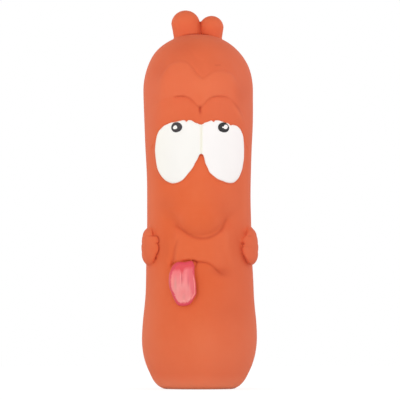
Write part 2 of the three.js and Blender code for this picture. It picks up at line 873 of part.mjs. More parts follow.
const squeaker = new THREE.Group();
squeaker.add(named("squeaker_barrel", geometryOf(squeakerBarrel()), squeakerPlastic));
squeaker.add(named("reed_seat", geometryOf(reedSeat()), squeakerPlastic));
squeaker.add(named("reed_clamp", geometryOf(reedClamp()), squeakerPlastic));
squeaker.add(named("reed", reed(), reedFilm));

// The nose stands further forward than the belly reaches back, so the axis lies behind the origin.
const noseFront = depthShare * radiusAt(profilePoints, noseBottom + noseRadius) + noseReach;
const toy = new THREE.Group();
toy.add(casting, squeaker);
toy.position.y = (noseFront - depthShare * bellyRadius) / 2;

export default toy;
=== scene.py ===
# The latex sausage toy: its cast skin, its brushed coats of colour, its stuffing and its squeaker.
#
# The casting is shaped in millimetres about the toy's own upright axis, seen from the front: x to the
# right, y away from the viewer and z up. Its meshes are then placed in the frame, in metres.

import math

import bmesh
import bpy
import numpy as np
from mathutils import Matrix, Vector


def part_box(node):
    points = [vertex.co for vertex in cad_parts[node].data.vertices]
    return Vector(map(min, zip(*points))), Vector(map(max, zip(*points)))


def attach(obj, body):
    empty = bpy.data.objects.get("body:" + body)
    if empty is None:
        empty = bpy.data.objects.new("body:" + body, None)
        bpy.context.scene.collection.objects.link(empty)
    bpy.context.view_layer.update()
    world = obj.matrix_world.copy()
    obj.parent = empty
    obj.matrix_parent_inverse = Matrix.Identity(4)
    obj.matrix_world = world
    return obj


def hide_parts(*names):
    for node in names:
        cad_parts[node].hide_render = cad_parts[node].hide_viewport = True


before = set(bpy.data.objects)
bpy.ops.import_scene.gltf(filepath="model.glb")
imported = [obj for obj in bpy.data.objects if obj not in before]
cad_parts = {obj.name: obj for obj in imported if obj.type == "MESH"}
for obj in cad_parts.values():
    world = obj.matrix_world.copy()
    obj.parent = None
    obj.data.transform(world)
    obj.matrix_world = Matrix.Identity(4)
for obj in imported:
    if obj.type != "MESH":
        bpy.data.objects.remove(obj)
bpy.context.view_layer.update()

MM = 0.001
squeaker_low, squeaker_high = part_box("squeaker_barrel")
AXIS_Y = (squeaker_low[1] + squeaker_high[1]) / 2  # the casting's upright axis in the frame, in metres


# Curves and fields


def curve_stretch(a, b, c, d, each):
    """A smooth curve's stretch from b to c, where a comes before them and d after them."""
    t = np.linspace(0, 1, each, endpoint=False)[:, None]
    return 0.5 * (2 * b + (c - a) * t + (2 * a - 5 * b + 4 * c - d) * t**2 + (3 * b - a - 3 * c + d) * t**3)


def through(points, each=10):
    """A smooth open curve through given points, as an array of points."""
    points = np.asarray(points, float)
    ends = np.vstack([2 * points[0] - points[1], points, 2 * points[-1] - points[-2]])
    parts = [curve_stretch(*four, each) for four in zip(ends, ends[1:], ends[2:], ends[3:])]
    return np.vstack(parts + [points[-1:]])


def around(points, each):
    """A smooth closed curve through given points."""
    points = np.asarray(points, float)
    neighbours = (np.roll(points, shift, 0) for shift in (1, 0, -1, -2))
    return np.vstack([curve_stretch(*four, each) for four in zip(*neighbours)])


def level(curve_points):
    """A height over x, from a curve whose points run from left to right."""
    curve = through(curve_points)
    return lambda x: np.interp(x, curve[:, 0], curve[:, 1])


def ease(t):
    """0 at 0 and 1 at 1, leaving both gently."""
    t = np.clip(t, 0, 1)
    return t * t * (3 - 2 * t)


def span(value, low, rise, high, fall):
    """1 between two values: it rises from 0 past the low one and falls back to 0 at the high one."""
    return ease((value - low) / rise) * ease((high - value) / fall)


def hump(value, middle, half):
    """1 at the middle, falling away to both sides of it."""
    return np.exp(-(((value - middle) / half) ** 2))


def dome(t):
    """0 at 0, rising steeply and levelling out at 1, like the rim of a pillow."""
    t = np.clip(t, 0, 1)
    return np.sqrt(np.maximum(1 - (1 - t) ** 2, 0))


def blend(a, b, width):
    """The join of two fields with a fillet of about the given width."""
    near = np.maximum(width - np.abs(a - b), 0) / width
    return np.minimum(a, b) - near * near * width / 4


def sample(table, u, v):
    """A table read between its entries."""
    u = np.clip(u, 0, table.shape[0] - 1.001)
    v = np.clip(v, 0, table.shape[1] - 1.001)
    i, j = u.astype(np.int32), v.astype(np.int32)
    s, t = u - i, v - j
    low = table[i, j] * (1 - s) + table[i + 1, j] * s
    high = table[i, j + 1] * (1 - s) + table[i + 1, j + 1] * s
    return low * (1 - t) + high * t


def to_segments(x, z, curve, values=None):
    """The distance to an open curve, and the value that the curve's nearest point carries."""
    best = np.full(np.shape(x), np.inf)
    carried = np.zeros(np.shape(x))
    for i in range(len(curve) - 1):
        ax, az = curve[i][:2]
        dx, dz = curve[i + 1][0] - ax, curve[i + 1][1] - az
        t = np.clip(((x - ax) * dx + (z - az) * dz) / max(dx * dx + dz * dz, 1e-9), 0, 1)
        distance = np.hypot(x - ax - t * dx, z - az - t * dz)
        nearer = distance < best
        best = np.where(nearer, distance, best)
        if values is not None:
            carried = np.where(nearer, values[i] + t * (values[i + 1] - values[i]), carried)
    return best, carried


def inside_of(x, z, loop):
    """The distance inside a closed loop, negative outside it."""
    closed = np.vstack([loop, loop[:1]])
    distance, _ = to_segments(x, z, closed)
    crossings = np.zeros(np.shape(x), bool)
    for (ax, az), (bx, bz) in zip(closed, closed[1:]):
        spans = (az > z) != (bz > z)
        with np.errstate(divide="ignore", invalid="ignore"):
            crossings ^= spans & (x < ax + (z - az) * (bx - ax) / (bz - az))
    return np.where(crossings, distance, -distance)


# The plain sausage: foot, belly, waist, head and crown

CROWN = 163.5
SKIN_WALL = 2.2
DEPTH_SHARE = 0.94  # how deep the toy is beside its width
HEAD_LEAN = 0.7
# Radius and height along the outline, in four curves of four points that steer each
PROFILE = (
    ((16.1, 0), (20.5, 1.8), (26.5, 12.1), (26.5, 23.7)),
    ((26.5, 23.7), (26.5, 36.4), (23.9, 49.1), (23.9, 87.3)),
    ((23.9, 87.3), (23.9, 109.7), (25.3, 117.1), (25.3, 137)),
    ((25.3, 137), (25.3, 152.9), (15.2, 163.5), (0, 163.5)),
)


def profile_curve():
    """The outline from the foot up to the crown, as radii and heights."""
    t = np.linspace(0, 1, 48, endpoint=False)[:, None]
    parts = []
    for steered in PROFILE:
        a, b, c, d = (np.array(p, float) for p in steered)
        parts.append(a * (1 - t) ** 3 + 3 * b * t * (1 - t) ** 2 + 3 * c * t**2 * (1 - t) + d * t**3)
    return np.vstack(parts + [[[0.0, CROWN]]])


profile = profile_curve()

# The table of distances round the sausage
R_STEP = 0.4
R_LOW, R_HIGH, Z_LOW, Z_HIGH = -1.0, 40.0, -8.0, 182.0


def body_table():
    """The distance to the outline, negative inside it, for each radius and height."""
    radii, heights = np.arange(R_LOW, R_HIGH, R_STEP), np.arange(Z_LOW, Z_HIGH, R_STEP)
    r, z = np.meshgrid(radii, heights, indexing="ij")
    r = np.abs(r)
    distance, _ = to_segments(r, z, np.vstack([[0.0, 0.0], profile]))
    width = np.interp(z, profile[:, 1], profile[:, 0], left=0, right=0)
    return np.where((z > 0) & (z < CROWN) & (r < width), -distance, distance)


body_distances = body_table()


def lean(z):
    """The head leans a little to the left, and the belly settles a little to the right."""
    settled = 0.2 * hump(z, 42, 16) - 0.25 * hump(z, 0, 9)
    settled = settled - 0.35 * hump(z, 157.5, 6)
    return settled - 0.3 - HEAD_LEAN * (np.maximum(z, 0) / CROWN) ** 2


def plain_body(x, y, z):
    """The distance to the plain sausage, a little slimmer above the belly and fuller at the foot."""
    radius = np.hypot(x - lean(z), y / DEPTH_SHARE)
    slack = 0.4 * hump(z, 41, 9) - 0.25 * hump(z, 12, 7) * ease(z / 3)
    slack = slack - 0.4 * hump(z, 3, 3.5) * ease(z / 1.5)
    return sample(body_distances, (radius - R_LOW) / R_STEP, (z - Z_LOW) / R_STEP) + slack


# The face's relief: how far each point, seen from the front, stands out of the plain sausage. Its curves are
# given as x and z, and those of creases and soft lines as x, z and strength.

BROW_TOP = level([
    (-27, 132), (-21.5, 138.5), (-19.3, 141.7), (-17.5, 144.7), (-15.3, 148), (-12.9, 150.1), (-9.2, 151.2),
    (-6.1, 150.5), (-4, 148.6), (-1.8, 145.6), (0, 143.9), (1.8, 143.3), (4.3, 145), (6.8, 146.4),
    (10.5, 146.5), (14.1, 145.6), (16.3, 143.1), (19.5, 138.5), (23, 133), (27, 127),
])
LID_TOP = level([
    (-26, 128), (-19, 132.2), (-14, 134), (-10.6, 134.5), (-6.9, 134.4), (-4.1, 133), (-1.7, 130.8),
    (0.3, 129.4), (2.5, 131.6), (4.8, 133.8), (8.3, 134.6), (12.6, 134.1), (16.2, 131.6), (19.4, 126.8),
    (21.6, 121), (26, 108),
])
LID_EDGE = level([
    (-26, 106), (-22, 112), (-20.5, 115.4), (-19.5, 118.2), (-18.4, 119.7), (-16.8, 121.1), (-13.4, 122.45),
    (-10.4, 123.25), (-7.8, 123.55), (-4.3, 123.45), (-2.3, 122.55), (-0.6, 121.95), (1.1, 121.95),
    (3, 122.75), (4.9, 123.35), (7.7, 123.55), (10.4, 122.85), (13.2, 121.85), (16.8, 121.1), (18.7, 119.6),
    (20, 116.4), (21.4, 112), (26, 105),
])
LEFT_EYE = (
    (-21.2, 108.8), (-20.7, 103), (-19.3, 99), (-16.8, 95.8), (-13.2, 94.5), (-9.6, 95.1), (-6.4, 97.1),
    (-3.6, 100.8), (-1.2, 104.8), (0.1, 108.3), (0.3, 113), (0.3, 119), (-3, 124.6), (-9, 125.6),
    (-15, 124.5), (-19.4, 120.5), (-21.2, 114.5),
)
RIGHT_EYE = (
    (0.6, 113), (0.7, 108.3), (2.1, 104), (4, 99.9), (7.2, 96.4), (11, 95.2), (14.4, 94.7), (17, 96.2),
    (19.6, 99.8), (20.6, 104), (20.9, 109.5), (20.6, 115.5), (18.8, 120.6), (15, 123.6), (8, 125.6),
    (3, 124.8), (0.7, 119),
)
LEFT_WHITE = (
    (-20.65, 110.6), (-20.5, 107.2), (-20.1, 104), (-19.4, 101), (-18.1, 98.5), (-16.4, 96.5),
    (-14.6, 95.3), (-12.6, 94.7), (-10.4, 95), (-8.3, 96), (-6.7, 97.5), (-5.5, 99.1), (-4.3, 100.6),
    (-3.1, 102.3), (-2.2, 104), (-1.2, 105.7), (-0.6, 107), (-0.3, 107.8), (0.2, 108.15), (0.55, 108.3),
    (0.62, 110), (0.62, 117), (0.62, 121), (0.3, 121.85), (-0.7, 122.05), (-2.4, 122.65), (-3.7, 123.55),
    (-4.8, 123.7), (-5.5, 123.6), (-5.95, 123.05), (-6.35, 123), (-6.9, 123.5), (-7.9, 123.65),
    (-9.3, 123.35), (-13.2, 122.55), (-15, 121.85), (-16.6, 121.1), (-18.1, 119.7), (-19.2, 118.2),
    (-20.1, 115.4),
)
RIGHT_WHITE = (
    (0.56, 108.3), (1.2, 108), (1.65, 107.3), (1.95, 106), (2.3, 104.4), (3, 102.9), (3.6, 101.7),
    (4.1, 100.3), (5.2, 98.9), (6.7, 97.6), (8.5, 96.5), (10.4, 95.8), (12.2, 95.1), (14.1, 94.8),
    (15.9, 95.3), (17.6, 97), (18.6, 99), (19.4, 101.4), (19.85, 103.8), (20.2, 106.6), (20.25, 110.4),
    (20.15, 113.4), (19.85, 116.3), (19.15, 118.3), (18.3, 119.9), (16.8, 121.1), (15, 121.55),
    (14.4, 121.35), (13.8, 121.5), (13.2, 122.05), (12.2, 122.45), (10.4, 122.95), (8.5, 123.55),
    (7.3, 123.65), (6.75, 123.5), (6.4, 122.95), (6, 123), (5.5, 123.45), (4.8, 123.45), (3, 122.75),
    (1.3, 122.05), (0.7, 121.75), (0.56, 121), (0.56, 116), (0.56, 110.5),
)
MOUTH = (
    (-13.5, 56, 0.2), (-12.7, 57.5, 0.7), (-11, 58.4, 0.9), (-8.6, 58.7, 1), (-6.1, 59.1, 1),
    (-3.1, 59.2, 1), (-1.4, 58.6, 1.1), (0.6, 58.4, 0.85), (3.1, 58.1, 0.75), (5.5, 56.7, 0.6),
    (8, 54.5, 0.5), (10.3, 52.9, 0.3), (12.3, 52.5, 0),
)
NOSE_FOLD = (
    (-11.4, 76, 0), (-10.4, 74.7, 0.5), (-7.9, 73.2, 0.8), (-4.9, 71, 1), (-1.2, 69.6, 1), (3.1, 69.6, 1),
    (6.8, 71.1, 1), (9.7, 73.5, 1), (11.4, 76.8, 0.8), (12.6, 79.8, 0),
)
LEFT_FOLD = (
    (-10.2, 69, 0.1), (-10.9, 67, 0.7), (-11.6, 64.6, 1), (-12.2, 60.5, 1), (-12.7, 57.7, 1.2),
    (-13.6, 56, 0.3),
)
RIGHT_FOLD = (
    (11.2, 74, 0), (12, 71, 0.9), (12.2, 66.5, 1), (13.2, 62.5, 0.8), (14.4, 58.5, 0.5), (14.8, 54.5, 0),
)
FROWN = (
    (0.1, 130.9, 0), (0.1, 129.9, 0.6), (0, 128.6, 1.1), (0.1, 127.4, 0.85), (0.2, 126.2, 0.25),
    (0.4, 124, 0),
)
OUTER_LID = (
    (14.4, 132.6, 0), (15.6, 131.7, 0.6), (16.8, 130.3, 1), (17.8, 128.8, 1), (18.6, 127.2, 0.5),
    (19.4, 125, 0.2), (20, 122, 0),
)
OUTER_CREST = ((15, 130.3, 0.6), (16.3, 128.8, 1), (17.6, 126.9, 1), (18.8, 124.9, 0.8), (19.7, 122.6, 0.2))
MOUTH_KNOT = ((-3.3, 59.2, 0.5), (-2.2, 59, 0.9), (-1.5, 58.3, 1), (-1.75, 57.3, 0.8), (-2, 56.1, 0.3))
TONGUE_SHADE = (
    (-2.4, 56.6, 0.3), (-2.15, 53, 0.6), (-1.85, 50.5, 0.9), (-1.5, 47.5, 1), (-1.4, 45, 1),
    (-1.7, 42.6, 0.6), (-2.5, 40.6, 0.1),
)
EYE_NOTCH = ((-0.5, 107.2, 0.7), (0.1, 107.75, 1), (0.9, 107.75, 1), (1.3, 107.2, 0.5))
BROW_FOLD = ((-5.6, 149.2, 0), (-3.3, 147.2, 0.9), (-1.5, 144.6, 1), (0.4, 143.2, 0.4))
BROW_NICK = ((7.2, 148.9, 1), (9.3, 149, 1))
LEFT_LID_LINE = (
    (-11.2, 134.4, 0.6), (-8.5, 134.7, 1), (-6, 134.4, 1), (-4.2, 133.2, 0.7), (-1.6, 130.7, 0.4),
    (0, 129.4, 1),
)
RIGHT_LID_LINE = (
    (0.6, 129.6, 0.8), (2.2, 131.4, 0.3), (3.8, 132.9, 0.5), (6.2, 134.2, 1), (9.5, 134.5, 1),
    (12.6, 134, 0.5), (14.8, 132.9, 0),
)

# The lines darkened with painted shade, the lower edges of the whites among them: line, half width and share
SHADED_LINES = (
    (FROWN, 0.55, 0.75), (OUTER_LID, 0.5, 0.25), (LEFT_LID_LINE, 0.5, 0.22), (RIGHT_LID_LINE, 0.5, 0.2),
    (MOUTH, 0.5, 0.42), (MOUTH_KNOT, 0.4, 0.75), (NOSE_FOLD, 0.7, 0.42), (LEFT_FOLD, 0.6, 0.3),
    (TONGUE_SHADE, 0.6, 0.6), (EYE_NOTCH, 0.45, 1), ([(*p, 1) for p in LEFT_WHITE[2:18]], 0.5, 0.2),
    ([(*p, 1) for p in RIGHT_WHITE[2:19]], 0.5, 0.2), (BROW_NICK, 0.35, 0.25),
)

# Patches of paler or, with a share below 0, deeper colour: painted light and shade, such as the pale strips
# down the sides and the light under the nose, with some of the dip's uneven colour: x, z, half across, half
# up, share
PAINTED_LIGHT_AND_DIP_PATCHES = (
    (-18.5, 147, 4, 5, -0.7), (-6.5, 158, 6.5, 4, -0.6), (19, 136, 4, 5.5, -0.6), (1.5, 139, 7, 6, 0.4),
    (-15.5, 85, 4, 4.5, -0.4), (-3, 90, 3.5, 5, 0.3), (10, 83, 4, 5, -0.35), (17, 67, 2.5, 6, -0.5),
    (-15.8, 66, 2.5, 6, -0.4), (13.5, 35, 9, 6.5, -0.4), (1, 23, 7, 9, 0.45), (-13, 11, 6, 6, -0.4),
    (-3, 4, 12, 2.5, -0.2), (21, 88, 1.6, 14, 0.4), (-22.5, 88, 1.8, 14, 0.4), (0, 73.5, 7, 3, 0.35),
    (-8.5, 78, 3, 3.5, 0.3), (8.5, 78, 2.5, 3.5, 0.2), (-10.6, 75.6, 1.6, 1.8, -0.5),
    (10.5, 54.2, 3, 2, -0.35), (-13, 154, 5, 4, -0.3), (-24.5, 65, 3, 6, -0.25), (0.3, 100, 3.5, 5, 0.3),
    (-14, 127.5, 6, 3, 0.25),
)

# The tables of the face, seen from the front
X_LOW, X_HIGH, FACE_LOW, FACE_HIGH, FACE_STEP = -31.0, 31.0, 24.0, 170.0, 0.25
EYE_REACH = 1.5  # how far the eye bulges stand out


def stroke(x, z, points, width):
    """A soft line along a curve whose points carry its strength."""
    curve = through(points, 8)
    distance, strength = to_segments(x, z, curve[:, :2], curve[:, 2])
    return strength * hump(distance, 0, width)


def eye_bulge(x, z, outline):
    """How far an eye bulge stands out, rising steeply at its outline."""
    return EYE_REACH * dome((inside_of(x, z, around(outline, 6)) + 0.3) / 7)


def face_relief():
    """The relief, how deep in a crease each point lies for its painted shade, and how much paler or deeper
    its colour is painted as light and shade, with some of the dip's uneven colour.
    """
    across, up = np.arange(X_LOW, X_HIGH, FACE_STEP), np.arange(FACE_LOW, FACE_HIGH, FACE_STEP)
    x, z = np.meshgrid(across, up, indexing="ij")
    below_lid = ease((LID_EDGE(x) + 0.35 - z) / 0.7)
    eyes = np.maximum(eye_bulge(x, z, LEFT_EYE), eye_bulge(x, z, RIGHT_EYE))
    sides = ease((24 - np.abs(x + 0.4)) / 7)  # brow and lids run out at the head's sides
    lined = span(x, -12.6, 2.2, 14.5, 4.5)  # where the lids have a line above them
    lined *= 1 - 0.5 * hump(x, 0.2, 3.4)
    middle = span(x, -20.5, 5, 19.5, 5)  # where the brow has its crest

    # The lids: a swelling between their lower edge and the line above them
    lid_share = np.clip((z - LID_EDGE(x)) / np.maximum(LID_TOP(x) - LID_EDGE(x), 1), 0, 1)
    upper_rim = 0.6 + 0.4 * dome((LID_TOP(x) + 0.2 - z) / 1.5)
    tucked = (1.7 + 0.5 * np.sin(math.pi * lid_share) ** 0.8) * upper_rim
    lids = tucked * lined + (1.9 + 0.6 * lid_share) * (1 - lined)
    lids *= dome((z - LID_EDGE(x) + 0.5) / 1.4)

    # The brow: a crest that falls away upward and, where the lids have their line, overhangs them
    above = z - LID_TOP(x)
    overhang = 1 + (0.5 + 0.5 * dome(above / 1.3) - 1) * lined
    arch = BROW_TOP(x)
    brow = 2 * overhang * ease((arch + 7.5 - z) / 13) ** 0.8 + 0.65 * middle * ease((arch + 0.5 - z) / 1.9)
    brow = np.where(above > 0, brow, 0)
    lids = np.where(above > 0, 0, lids)

    relief = np.maximum(eyes * below_lid, np.maximum(lids, brow) * sides)
    relief -= 0.55 * stroke(x, z, FROWN, 0.7)
    relief -= 0.22 * stroke(x, z, OUTER_LID, 0.5)
    relief += 0.35 * stroke(x, z, OUTER_CREST, 0.9)
    relief -= 0.3 * stroke(x, z, BROW_FOLD, 1.1)

    # The mouth: an upper lip that stands out above its line, with folds at its corners
    mouth_height = level([p[:2] for p in MOUTH])(x)
    lip = dome((z - mouth_height) / (1.5 + 1.6 * ease((x - 1) / 7))) * ease((75 - z) / 5)
    lip *= span(x, -13.4, 2.6, 14.5, 7)
    relief += 0.85 * lip
    relief -= 0.4 * stroke(x, z, MOUTH, 0.6) + 0.3 * stroke(x, z, MOUTH_KNOT, 0.5)
    relief += 0.75 * stroke(x, z, RIGHT_FOLD, 1.9) - 0.55 * stroke(x, z, LEFT_FOLD, 0.8)
    relief += 0.4 * stroke(x, z, [(px - 2.4, pz, s) for px, pz, s in LEFT_FOLD], 1.8)
    relief -= 0.3 * stroke(x, z, NOSE_FOLD, 0.6)
    corner = np.exp(-(((x - 9.8 + 0.5 * (z - 54)) / 3.6) ** 2) - ((z - 54) / 2.1) ** 2)
    relief -= 0.7 * corner

    # The painted shade in creases and at the mouth's corner, the painted light and shade of the face, and how
    # sharply the relief bends
    crease = 0.3 * corner + sum(share * stroke(x, z, line, width) for line, width, share in SHADED_LINES)
    # Painted light along the brow's crest, on the upper lip, on the crest outside the right lid and along the
    # right fold
    tone = 0.44 * ease((arch + 0.1 - z) / 1.2) * ease(above / 0.8) * middle
    tone = tone + 0.4 * lip + 0.6 * stroke(x, z, OUTER_CREST, 0.7) + 0.45 * stroke(x, z, RIGHT_FOLD, 1.5)
    for px, pz, across_half, up_half, share in PAINTED_LIGHT_AND_DIP_PATCHES:
        tone = tone + share * np.exp(-(((x - px) / across_half) ** 2) - ((z - pz) / up_half) ** 2)
    slopes = np.gradient(relief, FACE_STEP)
    bends = np.hypot(*(np.hypot(*np.gradient(slope, FACE_STEP)) for slope in slopes))
    return relief, np.clip(crease, 0, 1), np.clip(tone, -1, 1), bends


face_heights, face_crease_shade, face_painted_light_and_dip, face_bends = face_relief()


def read_face(table, x, z):
    """One of the face's tables, read at points seen from the front."""
    return sample(table, (x - X_LOW) / FACE_STEP, (z - FACE_LOW) / FACE_STEP)


# The forms that overhang: nose, tongue, fists and tufts


def ellipsoid(x, y, z, middle, half):
    """Roughly the distance to an ellipsoid."""
    px, py, pz = x - middle[0], y - middle[1], z - middle[2]
    k0 = np.sqrt((px / half[0]) ** 2 + (py / half[1]) ** 2 + (pz / half[2]) ** 2)
    k1 = np.sqrt((px / half[0] ** 2) ** 2 + (py / half[1] ** 2) ** 2 + (pz / half[2] ** 2) ** 2)
    return k0 * (k0 - 1) / np.maximum(k1, 1e-6)


NOSE_HIGH = 80.5  # the middle of its ball
NOSE_BRIDGE = 25  # how far above that its bridge ends


def nose(x, y, z):
    """A drop hanging from between the eyes: a ball below, drawn up to the bridge."""
    up = np.clip((z - NOSE_HIGH) / NOSE_BRIDGE, 0, 1)
    radius = 10.9 - 8.2 * ease(up) ** 0.9
    middle_y = -17.6 - 2.3 * (1 - up)
    flat = 0.73 * (1 - up) + 0.6 * up
    px = x + 0.2
    pz = z - NOSE_HIGH - NOSE_BRIDGE * up
    return (np.sqrt(px**2 + ((y - middle_y) / flat) ** 2 + pz**2) - radius) * 0.78


def with_parts(distance, x, y, z, parts):
    """Joins parts, each worked out only near itself: (low corner, high corner, form, fillet)."""
    for low, high, form, fillet in parts:
        near = (x > low[0]) & (x < high[0]) & (y > low[1]) & (y < high[1]) & (z > low[2]) & (z < high[2])
        if not near.any():
            continue
        px, py, pz = x[near], y[near], z[near]
        width = fillet(pz) if callable(fillet) else fillet
        distance[near] = blend(distance[near], form(px, py, pz), width)
    return distance


TONGUE = (
    (-11, 58.4), (-9.4, 58.8), (-7.5, 58.65), (-5.8, 59), (-4.1, 59.3), (-3.1, 58.8), (-2.8, 57.8),
    (-2.4, 56.6), (-2.5, 55), (-2.45, 53), (-2.1, 50.8), (-1.8, 48.6), (-1.65, 46.6), (-1.6, 45.2),
    (-1.75, 43.9), (-2.15, 42.7), (-2.8, 41.5), (-3.5, 40.3), (-4.6, 39.1), (-6.3, 38.45), (-8.1, 38.3),
    (-9.9, 38.65), (-11.1, 39.8), (-11.95, 41.5), (-12.9, 43.5), (-13.6, 45.4), (-14.15, 47.3),
    (-14.4, 49.2), (-14.4, 51.2), (-14.1, 53.4), (-13.4, 55.4), (-12.4, 57.2),
)
TONGUE_GROOVE = ((-8.35, 56, 0.4), (-8.25, 54.2, 1), (-8.2, 51.6, 0.9), (-8.2, 48, 0.1))
TONGUE_EDGE = 1.3  # the rounding of its edge
tongue_outline = around(TONGUE, 5)


def tongue(x, y, z):
    """A lolling tongue on the chin: it comes from under the lip, swells, and thins out to its tip."""
    bulge = plain_body(x, y, z)
    thick = 0.9 + 1.5 * np.sqrt(np.clip((59.8 - z) / 9, 0.02, 1)) * (1 - 0.55 * ease((47 - z) / 9))
    out = np.abs(bulge - 0.6) - thick + TONGUE_EDGE
    side = TONGUE_EDGE - inside_of(x, z, tongue_outline)
    corner = np.hypot(np.maximum(side, 0), np.maximum(out, 0))
    distance = corner + np.minimum(np.maximum(side, out), 0) - TONGUE_EDGE
    return distance + 0.5 * stroke(x, z, TONGUE_GROOVE, 0.6)


# Each fist's outline seen from the front, as on the left: the thumb above, and curled fingers that stand off
# the body below it
THUMB = ((-31, 55.5), (-31, 78), (-25, 77), (-22.8, 75.8), (-21.8, 74.4), (-21.6, 72.6))
LEFT_FIST = THUMB + (
    (-21.2, 71.1), (-20.3, 70.75), (-19.4, 70.3), (-18.7, 69.5), (-18.55, 68.6), (-18.85, 67.7),
    (-19.25, 67), (-19, 66.1), (-18.8, 65), (-18.9, 63.9), (-19.3, 63), (-19.9, 62.1), (-20.3, 61.2),
    (-20.6, 60.2), (-21, 59.1), (-21.5, 58.1), (-22.4, 57.3), (-24, 56.6), (-27, 56),
)
RIGHT_FIST = THUMB + (
    (-21.3, 71.1), (-20.6, 70.6), (-19.9, 69.9), (-19.5, 69), (-19.5, 68.2), (-19.8, 67.4), (-20, 66.9),
    (-19.7, 66.2), (-19.5, 65.4), (-19.35, 64.4), (-19.5, 63.4), (-19.9, 62.4), (-20.4, 61.4),
    (-20.85, 60.5), (-21.4, 59.5), (-22, 58.5), (-22.9, 57.5), (-24.5, 56.7), (-27, 56),
)
fist_outlines = {-1: around(LEFT_FIST, 4), 1: around(RIGHT_FIST, 4)}
# Each crease of a fist: its line, its depth in millimetres and its share of the painted shade
FIST_CREASES = {
    -1: (
        (((-24, 70.5, 0.3), (-22.5, 70.55, 0.9), (-21, 70.6, 1), (-20, 70.6, 0.6)), 0.3, 0.35),
        (((-20.6, 67, 0), (-20, 67, 0.7), (-19.2, 67, 1)), 0.3, 0.4),
        (((-21.9, 74.4, 0.3), (-21.8, 73, 0.9), (-21.7, 71, 1)), 0.2, 0.32),
    ),
    1: (
        (((-24, 70.5, 0.3), (-23, 70.5, 0.8), (-22.2, 70.5, 0.5)), 0.2, 0.3),
        (((-20.8, 66.9, 0.2), (-20.2, 66.9, 0.8), (-19.4, 66.9, 1)), 0.25, 0.35),
        (((-23.6, 65.6, 0.3), (-21.6, 65.6, 0.6), (-19.8, 65.5, 0.8)), 0.15, 0.2),
    ),
}
FIST_Y = -7.3  # how far in front of the toy's axis the fists lie
FIST_LOW, FIST_HIGH = 54, 79
# The grooves between the curled fingers, on the fist's outer side: height, slope, depth
FINGERS = ((70.5, 0.06, 0.24), (66.9, 0.02, 0.3), (63.1, -0.05, 0.26))
# How dark the painted shade line under each fist's edge is, by height
UNDERCUT = {
    -1: ((57.4, 0), (58.6, 0.7), (60, 1), (69.8, 1), (70.9, 0.7), (71.4, 0)),
    1: ((57.6, 0), (58.8, 0.3), (60, 0.5), (64.8, 0.55), (65.8, 0.25), (67.4, 0.25), (70.5, 0.1), (71, 0)),
}


def between_fingers(x, y, z):
    """How deep in the grooves between a fist's fingers each point lies; the fist is the left one."""
    outer = ease((-22.4 - x) / 2.4) * ease((-0.8 - y) / 4) * ease((y + 10) / 4.5)
    lines = ((z - high - slope * (y + 7) - 0.012 * (y + 8) ** 2, deep) for high, slope, deep in FINGERS)
    return outer * sum(deep * hump(off, 0, 0.5) for off, deep in lines)


def fist(side):
    """A closed hand against the toy's side: a cushion with a scalloped edge that stands off the body."""

    def form(x, y, z):
        x = -side * x
        cushion = ellipsoid(x, y, z, (-19.34 + 0.06 * side, FIST_Y, 65.4), (7.6, 8.0, 9.9))
        heel = ellipsoid(x, y, z, (-21, FIST_Y, 61), (5.2, 6.9, 4.4))
        thumb = ellipsoid(x, y, z, (-21.4 + 0.25 * side, FIST_Y, 70.4), (4.5, 6.4, 4.3))
        cushion = blend(blend(cushion, heel, 2), thumb, 2)
        edge = -inside_of(x, z, fist_outlines[side])
        distance = -blend(-cushion, -edge, 1.1)
        grooves = sum(depth * stroke(x, z, line, 0.4) for line, depth, _ in FIST_CREASES[side])
        return distance + np.maximum(grooves * ease((-6 - y) / 3), between_fingers(x, y, z))

    return form


TUFT_ROOT = 160.0
TUFT_Y = 5.3  # how far behind the toy's axis the tufts stand
TUFT_DEPTH = 0.92  # beside their width


def tuft(middle, half, root_x, root_radius):
    """A ball that narrows downward to a thick root, which stands in the crown."""

    def form(x, y, z):
        up = np.clip((z - TUFT_ROOT) / (middle[2] - TUFT_ROOT), 0, 1) ** 1.3
        across = root_x + (middle[0] - root_x) * up
        radius = root_radius + (half[0] - root_radius) * up
        over = np.maximum(z - middle[2], 0) * half[0] / half[1]
        return (np.sqrt((x - across) ** 2 + ((y - middle[1]) / TUFT_DEPTH) ** 2 + over**2) - radius) * 0.94

    return form


LEFT_TUFT = tuft((-6.65, TUFT_Y, 168.2), (6.6, 6.4), -5.6, 6.3)
RIGHT_TUFT = tuft((5.3, TUFT_Y, 166.5), (5.6, 5.6), 5.35, 4.65)


def between_tufts(x, y, z):
    """The thin latex that bridges the two tufts, set back from their faces."""
    return ellipsoid(x, y, z, (0.35, TUFT_Y, 165), (1.5, 2.3, 4.5))


PARTING = (
    (-0.1, 169.9, 0.6), (0.1, 169, 1), (0.35, 167, 0.9), (0.3, 165, 0.9), (0.6, 163.3, 1),
    (0.6, 162.6, 0.3),
)


def left_fist_fillet(z):
    """Tight, so that the fist stands off the body, but soft at its upper and lower ends."""
    return 0.25 + 1.3 * (ease((z - 70) / 1.5) + ease((59.5 - z) / 2))


def right_fist_fillet(z):
    """Softer than on the left, and more so from the middle of the fist upward."""
    return 0.9 + 0.9 * ease((z - 65.3) / 1.2) + 0.6 * ease((z - 70) / 1.5)


# The box that each form keeps to, the form, and its fillet, which may change with height
PARTS = [
    ((-20, -40, 60), (20, -8, 116), nose, lambda z: 0.5 + 9 * ease((z - 74) / 11)),
    ((-31, -24, 50), (-14, 4, 80), fist(-1), left_fist_fillet),
    ((14, -24, 50), (31, 4, 80), fist(1), right_fist_fillet),
    ((-15, -6, 150), (3, 14, 178), LEFT_TUFT, lambda z: 0.4 + 1.5 * ease((162.9 - z) / 1.8)),
    ((-2, -6, 150), (14, 14, 178), RIGHT_TUFT, lambda z: 0.3 + 1.5 * ease((162.6 - z) / 1.8)),
    ((-3, 0, 158), (4, 11, 171), between_tufts, 0.3),
    ((-18, -32, 34), (1, -12, 64), tongue, 0.4),
]

